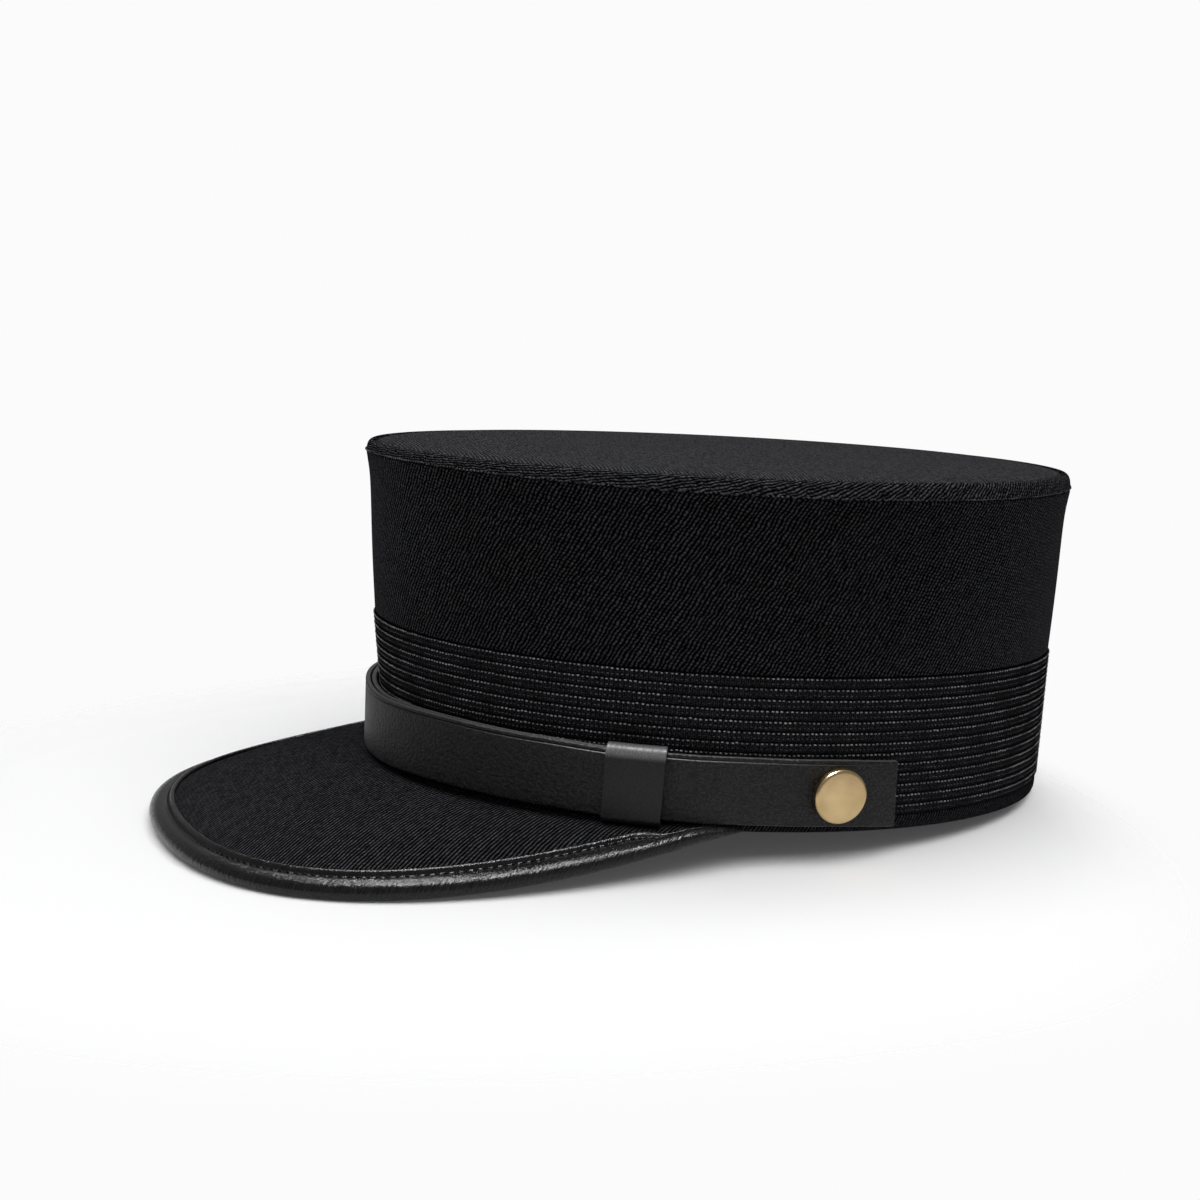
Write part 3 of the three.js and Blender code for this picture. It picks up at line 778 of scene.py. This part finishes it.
def bendBeads(strand, count, out, heightOf, seed):
    # each bead keeps its shape; its middle goes to its place on the crown, with a little unevenness
    chance = random.Random(seed)
    perBead = 12
    vertices = strand.data.vertices
    for first in range(0, len(vertices), perBead):
        row, number = divmod(first // perBead, count)
        middle = Vector((number, 0, row * rowPitch))
        turn = -180 + 360 * (number + chance.uniform(-0.12, 0.12) + beadShape["stagger"] * row) / count
        height = heightOf(row, turn)
        centre = capPoint(turn, height, out)
        along = (capPoint(turn + 1, height, out) - capPoint(turn - 1, height, out)).normalized()
        up = (capPoint(turn, height + 1, out) - centre).normalized()
        outward = along.cross(up).normalized()
        grow = chance.uniform(0.8, 1.15)
        slip = chance.gauss(0, 0.05)
        for vertex in vertices[first:first + perBead]:
            local = (vertex.co - middle) * grow
            vertex.co = centre + along * local.x + outward * local.y + up * (local.z + slip)
    strand.data.update()


def makeBraidStitches(name, share, scale, material, seed):
    count = round(2 * arcTable[180] / beadShape["pitch"])
    strand = strandOfBeads(name, count, bandShape["rows"], scale)

    def heightOf(row, turn):
        return bandShape["foot"] + (row + share) * rowPitch

    bendBeads(strand, count, beadShape["out"], heightOf, seed)
    finishPiece(strand, [], [material], angle=180)


def makeWeltStitches():
    size = beadShape
    count = round(2 * arcTable[180] / size["pitch"] * size["weltMore"])
    strand = strandOfBeads("weltStitches", count, 1, 1)

    def heightOf(row, turn):
        return capSize["height"] - seamDrop(turn) + size["weltUp"]

    bendBeads(strand, count, size["weltOut"], heightOf, 5)
    finishPiece(strand, [], [dimThread], angle=180)


makeBraidStitches("braidStitches", beadShape["share"], 1, braidThread, 3)
makeBraidStitches("braidDimStitches", beadShape["dimShare"], beadShape["dimSize"], dimThread, 4)
makeWeltStitches()

# binding folded round the bottom edge
rimShape = {
    "thick": 0.9, "height": 4, "outer": -0.4, "gap": 0.3,
    # the rounded bottom edge as (in from the face, height), and the rounded top edges' drop
    "bottom": [(0, 0.95), (0.25, 0.3), (0.9, 0)], "topDrop": 0.4, "topRise": 0.05,
}


def makeRimBinding():
    size = rimShape
    outside, inside = wallOuter + size["gap"], wallInner - size["gap"]  # the faces towards the wall
    inner, outer = inside - size["thick"], size["outer"]
    brim, fold = size["height"] + size["topRise"], size["height"] - size["topDrop"]
    section = [(outside, size["height"]), (outside, size["thick"]), (inside, size["thick"]), (inside, size["height"])]
    section += [(inside - size["thick"] / 2, brim), (inner, fold)]
    section += [(inner + away, height) for away, height in size["bottom"]]
    section += [(outer - away, height) for away, height in reversed(size["bottom"])]
    section += [(outer + 0.1, 2.2), (outer, fold), (outer - size["topDrop"], brim)]
    rim = ringPiece("rimBinding", section)
    layUv(rim, aroundUv)
    finishPiece(rim, ["rim_binding"], [rimTwill])


makeRimBinding()

# peak
visorShape = {
    "turn": 71.8, "reach": 65.7, "drop": 16.3, "endRise": 1.2, "endOut": 1.2, "thick": 2, "seat": 0.2, "climb": 4.7,
    "bendWide": 0.975, "bendBack": 0.995, "bendAhead": -0.026, "end": 0.92,
    "edgeRadius": 2.1, "endRadius": 1, "lipReach": 5.9, "keeperOut": 7.4,
}


def edgePoint(place):
    # the peak's edge line, from -1 at the wearer's right end over 0 at the front to 1 at the left
    size = visorShape
    front = -capSize["rimLength"] / 2 - size["reach"]
    halfWidth = capSize["rimWidth"] / 2
    end = capPoint(size["turn"], 0, size["endOut"])
    bend = -capSize["rimLength"] / 2 - size["bendAhead"] * size["reach"]
    points = [
        Vector((0, front, -size["drop"])),
        Vector((size["bendWide"] * halfWidth, front, -size["drop"])),
        Vector((size["bendBack"] * halfWidth, bend, -size["drop"])),
        Vector((end.x, end.y, size["climb"])),
    ]
    t = abs(place)
    point = (
        points[0] * (1 - t) ** 3 + points[1] * 3 * t * (1 - t) ** 2
        + points[2] * 3 * t * t * (1 - t) + points[3] * t ** 3
    )
    below = size["endRise"] - point.z
    point.z = size["endRise"] - (below + math.hypot(below, size["thick"])) / 2
    if place < 0:
        point.x = -point.x
    return point


def visorSurface(place, share):
    seat = capPoint(place * visorShape["turn"], 0, 0)
    seat.z = mix(visorShape["seat"], visorShape["endRise"], abs(place) ** 8)
    edge = edgePoint(place)
    point = seat.lerp(edge, share)
    point.z = mix(seat.z, edge.z, 0.1 * share + 0.9 * share * share)
    return point


def depthOf(place):
    # the peak's depth at a place, square to its edge line
    step = 0.01
    along = (visorSurface(place + step, 1) - visorSurface(place - step, 1)).normalized()
    down = (visorSurface(place, 1) - visorSurface(place, 1 - step)) / step
    return (down - along * down.dot(along)).length


def liftedPoint(place, share, lift):
    step = 0.01
    along = visorSurface(place + step, share) - visorSurface(place - step, share)
    outward = visorSurface(place, share + step) - visorSurface(place, share - step)
    normal = outward.cross(along).normalized()
    if normal.z < 0:
        normal.negate()
    return visorSurface(place, share) + normal * lift


def visorPoint(place, back, lift):
    return liftedPoint(place, 1 - back / depthOf(place), lift)


# lengths along the edge, so that the trim and its stitches keep their real length
edgeSteps = 200
edgeTable = [0.0]
for step in range(edgeSteps):
    edgeTable.append(edgeTable[-1] + (edgePoint((step + 1) / edgeSteps) - edgePoint(step / edgeSteps)).length)


def edgePlace(length):
    away = clamp(abs(length), 0, edgeTable[-1])
    whole = next((k for k in range(edgeSteps) if edgeTable[k + 1] >= away), edgeSteps - 1)
    share = (away - edgeTable[whole]) / (edgeTable[whole + 1] - edgeTable[whole])
    return math.copysign((whole + share) / edgeSteps, length)


def divide(piece, cuts, test):
    selectWhere(piece, "EDGE", test)
    bpy.ops.mesh.subdivide(number_cuts=cuts)
    bpy.ops.object.mode_set(mode="OBJECT")


def boardPiece(name, low, high, cuts=(0, 0)):
    # a flat board, divided along its length and across its width
    pick(None)
    bpy.ops.mesh.primitive_cube_add(size=1, location=(0, 0, 0))
    board = bpy.context.object
    board.name = name
    edit(board)
    bpy.ops.mesh.select_all(action="SELECT")
    bpy.ops.transform.resize(value=tuple(high[k] - low[k] for k in range(3)), center_override=(0, 0, 0))
    bpy.ops.transform.translate(value=tuple((high[k] + low[k]) / 2 for k in range(3)))
    bpy.ops.object.mode_set(mode="OBJECT")
    for axis in (0, 1):
        if cuts[axis]:
            others = [k for k in range(3) if k != axis]
            divide(board, cuts[axis], lambda a, b: max(abs(a[k] - b[k]) for k in others) < 1e-6)
    return board


def makeVisor():
    size = visorShape
    inset = size["edgeRadius"] / 2 + 0.3
    half = size["thick"] / 2
    sheet = boardPiece("visorSheet", (-size["end"], 0, -half), (size["end"], 1, half), (127, 23))

    def bend(place):
        return liftedPoint(place.x, place.y * (1 - inset / depthOf(place.x)), place.z)

    reshape(sheet, bend)
    layUv(sheet, lambda place, face: (place.x, place.y))
    finishPiece(sheet, ["visor"], [visorTwill])


makeVisor()

trimShape = {
    # section as (back from the edge line, lift over the sheet's middle), clockwise from the lip's foot
    "lip": [
        (5.9, 1.15), (6.1, 1.5), (6.1, 1.85), (5.95, 2.12), (5.65, 2.3), (5.3, 2.34), (4.95, 2.22), (4.65, 2.02),
        (4.4, 1.76), (4.2, 1.52), (3.95, 1.42), (3.65, 1.5), (3.3, 1.72), (2.9, 1.98), (2.4, 2.22), (1.9, 2.38),
        (1.4, 2.46),
    ],
    "crest": (0.9, 2.48),
    "under": [
        (0.8, -2.05), (2, -1.9), (4, -1.78), (5.6, -1.74), (5.85, -1.6), (5.9, -1.3), (3.5, -1.3), (1.05, -1.3),
        (1.05, 1.15), (3.5, 1.15),
    ],
    "rollSteps": 10, "spans": 260, "inside": 1.3,
    "stitchBack": 3.95, "stitchLift": 1.52, "stitchSag": 0.35, "stitchPitch": 2.4, "stitchLength": 1.7,
    "stitchThick": 0.42, "stitchRound": 0.13, "stitchReach": 0.93,
}


def drawSection(name, points):
    # a flat closed outline drawn vertex by vertex in the YZ plane, then filled
    pick(None)
    bpy.ops.mesh.primitive_plane_add(size=1, location=(0, 0, 0))
    piece = bpy.context.object
    piece.name = name
    edit(piece)
    bpy.ops.mesh.select_all(action="SELECT")
    bpy.ops.mesh.merge(type="CENTER")
    bpy.ops.transform.translate(value=(0, *points[0]))
    for start, end in zip(points, points[1:]):
        shift = (0, end[0] - start[0], end[1] - start[1])
        bpy.ops.mesh.extrude_vertices_move(TRANSFORM_OT_translate={"value": shift})
    bpy.ops.mesh.select_all(action="SELECT")
    bpy.ops.mesh.edge_face_add()
    return piece


def stripPiece(name, points, length, cuts):
    # a straight strip of one section, with its middle at x = 0
    strip = drawSection(name, points)
    bpy.ops.transform.translate(value=(-length / 2, 0, 0))
    bpy.ops.mesh.extrude_region_move(TRANSFORM_OT_translate={"value": (length, 0, 0)})
    divide(strip, cuts, lambda a, b: abs(a.x - b.x) > 1e-6)
    return strip


def roomAt(where):
    # the distance from the peak's edge line to the crown's foot, which matters only near the ends
    if abs(where) <= 0.6:
        return 60
    edge = edgePoint(where).xy
    return min((edge - capPoint(math.copysign(turn, where), 0, 0).xy).length for turn in range(40, 91, 2))


def trimBend(place):
    # bends the straight trim round the peak's edge, narrower where it passes under the keeper and meets the rim
    size, inside = visorShape, trimShape["inside"]
    where = edgePlace(place.x)
    full = clamp((1 - abs(where)) / (1 - size["end"]), 0, 1)
    radius = mix(size["endRadius"], size["edgeRadius"], full) * mix(0.35, 1, smooth(1.0, 0.965, abs(where)))
    share = 1 - size["keeperOut"] / max(roomAt(where), 0.1)
    reach = clamp(depthOf(where) * share, radius, size["lipReach"])
    leg = clamp(place.y / 2, 0, 1)
    back = place.y * mix(radius / size["edgeRadius"], reach / size["lipReach"], leg)
    rise = (reach - radius) / (size["lipReach"] - radius)
    lift = place.z
    if place.y > 0:
        height = abs(lift)
        proud = max(height - inside, 0) * mix(0.5, 1, rise)
        lift = math.copysign(mix(0.3 + proud * 0.6, min(height, inside) + proud, full), lift)
        lift = mix(place.z * radius / size["edgeRadius"], lift, leg)
    else:
        lift *= radius / size["edgeRadius"]
    return visorPoint(where, back, lift)


def makeVisorBinding():
    size = trimShape
    radius = visorShape["edgeRadius"]
    crestBack, crestLift = size["crest"]
    quarter = [math.pi / 2 * k / size["rollSteps"] for k in range(size["rollSteps"] + 1)]
    roll = [(crestBack - (crestBack + radius) * math.sin(angle), crestLift * math.cos(angle)) for angle in quarter]
    roll += [(-radius * math.cos(angle), -radius * math.sin(angle)) for angle in quarter[1:]]
    length = 2 * edgeTable[-1]
    trim = stripPiece("visorBinding", size["lip"] + roll + size["under"], length, size["spans"])
    layUv(trim, lambda place, face: (place.x, place.y - place.z))
    reshape(trim, trimBend)
    finishPiece(trim, ["visor_binding"], [trimLeather], angle=50)


makeVisorBinding()


def makeTrimStitches():
    size = trimShape
    length = 2 * edgeTable[-1] * size["stitchReach"]
    count = int(length / size["stitchPitch"])
    pick(None)
    bpy.ops.mesh.primitive_cylinder_add(
        vertices=8, radius=size["stitchThick"] / 2, depth=size["stitchLength"], location=(0, 0, 0),
    )
    stitch = bpy.context.object
    stitch.name = "trimStitches"
    edit(stitch)
    bpy.ops.mesh.select_all(action="SELECT")
    bpy.ops.transform.rotate(value=math.pi / 2, orient_axis="Y", center_override=(0, 0, 0))
    selectWhere(stitch, "EDGE", lambda a, b: abs(a.x - b.x) < 1e-4)
    bpy.ops.mesh.bevel(offset=size["stitchRound"], segments=2)
    divide(stitch, 3, lambda a, b: abs(a.x - b.x) > 0.8)
    half = size["stitchLength"] / 2

    def sag(place):
        lift = size["stitchLift"] - size["stitchSag"] * (place.x / half) ** 2
        return Vector((place.x, place.y + size["stitchBack"], place.z + lift))

    reshape(stitch, sag)
    repeat(stitch, count, (size["stitchPitch"], 0, 0))
    start = -(count - 1) * size["stitchPitch"] / 2
    reshape(stitch, lambda place: trimBend(Vector((place.x + start, place.y, place.z))))
    finishPiece(stitch, [], [trimThread], angle=60)


makeTrimStitches()

# chin strap
strapShape = {
    "width": 18.4, "thick": 1.5, "round": 0.45, "endTurn": 96.2, "pastKeeper": 3, "lean": 2.5, "lowest": 2.9,
    "gap": 0.3, "pressed": 0.4, "settle": 78, "spans": 180, "rows": 5,
    # height of the lower edge over its lowest, in shares of the width, by turn from the front
    "lift": [(0, 0.01), (25, 0.06), (42, 0.045), (56, 0.005), (68, -0.01), (84, -0.03), (100, -0.08)],
}
keeperShape = {
    "thick": 1.1, "turn": 56, "length": 15, "topRound": 1.85, "footRound": 0.7, "roundSteps": 8, "slant": 0.09,
    "spans": 14,
}


def strapFoot(turn):
    away = abs(turn)
    (low, start), (high, end) = spanOf(strapShape["lift"], away)
    return strapShape["lowest"] + strapShape["width"] * mix(start, end, smooth(low, high, away))


def strapStand(turn, outer):
    # how far a half's inner face stands off the band; the outer half lies over the inner one past its keeper
    size = strapShape
    carried = size["pressed"] + keeperShape["thick"] + size["gap"]
    if outer:
        carried += size["thick"] + size["gap"]
    return mix(size["pressed"], carried, 1 - smooth(keeperShape["turn"] + 4, size["settle"], abs(turn)))


def strapLean(turn):
    share = clamp(abs(turn) / (keeperShape["turn"] - 6), 0, 1)
    return strapShape["lean"] / 2 * math.cos(share * math.pi / 2) ** 2


def makeStrap(name, node, outer):
    size = strapShape
    side = -1 if outer else 1
    start, end = arcAt(-keeperShape["turn"] - size["pastKeeper"]), arcAt(size["endTurn"])
    strap = boardPiece(name, (start, 0, 0), (end, size["width"], size["thick"]))
    applyModifier(strap, "BEVEL", width=size["round"], segments=4, limit_method="NONE")
    divide(strap, size["spans"], lambda a, b: abs(a.x - b.x) > 50)
    divide(strap, size["rows"], lambda a, b: abs(a.y - b.y) > 10)
    layUv(strap, lambda place, face: (place.x, place.y))

    def wrap(place):
        turn = turnAt(place.x)
        lean = strapLean(turn) * (1 - 2 * place.y / size["width"])
        return capPoint(side * turn, strapFoot(turn) + place.y, strapStand(turn, outer) + lean + place.z)

    reshape(strap, wrap)
    finishPiece(strap, [node], [strapLeather])


makeStrap("strapInner", "strap_inner", False)
makeStrap("strapOuter", "strap_outer", True)


def makeKeeper(name, node, side):
    size = keeperShape
    gap = strapShape["gap"]
    inside = strapStand(size["turn"], False) - gap
    outside = strapStand(size["turn"], True) + strapShape["thick"] + gap
    foot = strapFoot(size["turn"]) - gap
    crest = strapFoot(size["turn"]) + strapShape["width"] + 2 * gap
    middle = arcAt(size["turn"])
    half = size["length"] / 2
    loop = boardPiece(name, (middle - half, foot, inside), (middle + half, crest, outside))
    selectWhere(loop, "FACE", lambda face: abs(face.normal.x) > 0.9)
    bpy.ops.mesh.delete(type="ONLY_FACE")
    for top, rounding in ((True, size["topRound"]), (False, size["footRound"])):
        selectWhere(loop, "EDGE", lambda a, b: abs(a.x - b.x) > 1 and (a.y > (foot + crest) / 2) == top)
        bpy.ops.mesh.bevel(offset=rounding, segments=size["roundSteps"])
    applyModifier(loop, "SOLIDIFY", thickness=size["thick"], offset=1, use_even_offset=True)
    divide(loop, size["spans"], lambda a, b: abs(a.x - b.x) > 1)
    layUv(loop, lambda place, face: (place.x, place.y + place.z))

    def wrap(place):
        # the top leans back a little
        slant = size["slant"] * (place.y - (foot + crest) / 2)
        return capPoint(side * turnAt(place.x + slant), place.y, place.z)

    reshape(loop, wrap)
    finishPiece(loop, [node], [keeperLeather])


makeKeeper("keeperLeft", "keeper_left", 1)
makeKeeper("keeperRight", "keeper_right", -1)

# side buttons
buttonShape = {
    "turn": 86.1, "diameter": 15, "thick": 2.6, "neck": 6, "post": 3, "head": 9, "headThick": 0.8, "headGap": 0.6,
    "round": 0.62, "profile": 0.42, "backRound": 0.6, "dome": 0.12, "sides": 96,
    "rings": (0.4, 0.8, 1.2, 1.6, 1.8),
}


def buttonFrame(side):
    # where a button sits: its axis points out of the band, square to its surface
    turn = buttonShape["turn"] * side
    height = strapFoot(turn) + strapShape["width"] / 2
    seat = capPoint(turn, height, 0)
    along = capPoint(turn + 1, height, 0) - capPoint(turn - 1, height, 0)
    axis = along.cross(capPoint(turn, height + 1, 0) - seat).normalized()
    if axis.x * side < 0:
        axis.negate()
    return Matrix.Translation(seat) @ Vector((0, 0, 1)).rotation_difference(axis).to_matrix().to_4x4()


def makeButton(name, node, side):
    size = buttonShape
    back = strapShape["pressed"] + strapShape["thick"] + strapShape["gap"]
    inside = wallInner - size["headGap"]
    rim = size["diameter"] / 2
    pick(None)
    bpy.ops.mesh.primitive_cylinder_add(
        vertices=size["sides"], radius=rim, depth=size["thick"], location=(0, 0, back + size["thick"] / 2),
    )
    button = bpy.context.object
    button.name = name
    bpy.ops.object.transform_apply(location=True, rotation=True, scale=True)
    selectWhere(button, "EDGE", lambda a, b: a.z > back + 1 and b.z > back + 1)
    bpy.ops.mesh.bevel(offset=size["round"], segments=8, profile=size["profile"])
    selectWhere(button, "EDGE", lambda a, b: a.z < back + 0.01 and b.z < back + 0.01)
    bpy.ops.mesh.bevel(offset=size["backRound"], segments=4)
    selectWhere(button, "FACE", lambda face: face.normal.z < -0.99)
    bpy.ops.mesh.inset(thickness=rim - size["backRound"] - size["neck"] / 2)
    bpy.ops.mesh.inset(thickness=(size["neck"] - size["post"]) / 2)
    bpy.ops.mesh.extrude_region_move(TRANSFORM_OT_translate={"value": (0, 0, inside - back)})
    bpy.ops.mesh.extrude_region_move(TRANSFORM_OT_translate={"value": (0, 0, 0)})
    wider = size["head"] / size["post"]
    bpy.ops.transform.resize(value=(wider, wider, 1), center_override=(0, 0, inside))
    bpy.ops.mesh.extrude_region_move(TRANSFORM_OT_translate={"value": (0, 0, -size["headThick"])})
    selectWhere(button, "FACE", lambda face: face.normal.z > 0.99 and face.center.z > back + 1)
    for width in size["rings"]:
        bpy.ops.mesh.inset(thickness=width)
    bpy.ops.mesh.poke()
    bpy.ops.object.mode_set(mode="OBJECT")

    def dome(place):
        if place.z <= back + 1:
            return place
        away = clamp(math.hypot(place.x, place.y) / rim, 0, 1)
        return Vector((place.x, place.y, place.z - size["dome"] * away ** 3))

    reshape(button, dome)
    button.data.transform(buttonFrame(side))
    finishPiece(button, [node], [buttonBrass])


makeButton("buttonLeft", "button_left", 1)
makeButton("buttonRight", "button_right", -1)

# camera at the photograph's angle
cameraView = {
    "azimuth": 67.4783, "elevation": 9.5398, "roll": 0.2567, "distance": 0.55372, "lens": 55.779,
    "target": (0, -0.00797, 0.05912),
}


def makeCamera():
    azimuth, elevation, roll = (math.radians(cameraView[key]) for key in ("azimuth", "elevation", "roll"))
    level = math.cos(elevation)
    back = Vector((math.sin(azimuth) * level, -math.cos(azimuth) * level, math.sin(elevation)))
    right = Vector((math.cos(azimuth), math.sin(azimuth), 0))
    above = back.cross(right)
    turnedRight = right * math.cos(roll) + above * math.sin(roll)
    turnedUp = above * math.cos(roll) - right * math.sin(roll)
    bpy.ops.object.camera_add()
    camera = bpy.context.object
    camera.data.lens = cameraView["lens"]
    camera.data.sensor_width = 36
    place = Vector(cameraView["target"]) + back * cameraView["distance"]
    camera.matrix_world = Matrix((
        (turnedRight.x, turnedUp.x, back.x, place.x),
        (turnedRight.y, turnedUp.y, back.y, place.y),
        (turnedRight.z, turnedUp.z, back.z, place.z),
        (0, 0, 0, 1),
    ))
    camera.data.clip_start = 0.01
    bpy.context.scene.camera = camera


makeCamera()

# floor and light
studio = {
    "floor": 1.6, "level": -0.00013, "color": (0.92, 0.92, 0.925, 1), "glow": 0.05, "world": 0.24, "behind": 0.965,
    "fadeAcross": 0.16, "fadeBack": 0.105, "fadeFront": 0.2, "fadeTo": 1.4,
    # name, place, size, power, and whether it lights surfaces or only shows as a reflection
    "lights": [
        ("softbox", (0.25, -0.06, 1.1), 1.6, 17, True),
        ("backLight", (-0.3, 0.12, 1.05), 0.2, 17, False),
        ("overLight", (0.3, -0.12, 1.1), 0.34, 31, False),
    ],
}


def makeStudio():
    pick(None)
    size = studio
    bpy.ops.mesh.primitive_circle_add(vertices=96, radius=size["floor"], fill_type="NGON", location=(0, 0, 0))
    floor = bpy.context.object
    floor.name = "floor"
    floor.location.z = size["level"]
    material, tree, shader = newMaterial(
        "paleFloor", Base_Color=size["color"], Roughness=0.9, Specular_IOR_Level=0,
        Emission_Color=(1, 1, 1, 1), Emission_Strength=size["glow"],
    )
    place = split(tree, addNode(tree, "TexCoord").outputs["Object"])
    across = calc(tree, "DIVIDE", place["X"], size["fadeAcross"])
    behind = calc(tree, "DIVIDE", place["Y"], size["fadeBack"])
    ahead = calc(tree, "DIVIDE", place["Y"], -size["fadeFront"])
    away = lengthOf(tree, across, calc(tree, "MAXIMUM", behind, ahead))
    tree.links.new(ramp(tree, away, 1, size["fadeTo"], 1, 0, eased=True), shader.inputs["Alpha"])
    floor.data.materials.append(material)

    world = bpy.data.worlds.new("studio")
    bpy.context.scene.world = world
    world.use_nodes = True
    tree = world.node_tree
    seen = addNode(tree, "LightPath").outputs["Is Camera Ray"]
    background = tree.nodes["Background"]
    background.inputs["Color"].default_value = (1, 1, 1, 1)
    tree.links.new(blend(tree, seen, size["world"], size["behind"]), background.inputs["Strength"])

    for name, place, width, power, lights in size["lights"]:
        bpy.ops.object.light_add(type="AREA", location=place)
        light = bpy.context.object
        light.name = name
        light.data.size = width
        light.data.energy = power
        light.visible_diffuse = lights
        light.visible_glossy = not lights
        light.rotation_euler = (Vector(place) - Vector((0, 0, 0.05))).to_track_quat("Z", "Y").to_euler()


makeStudio()
bpy.context.scene.view_settings.view_transform = "Standard"
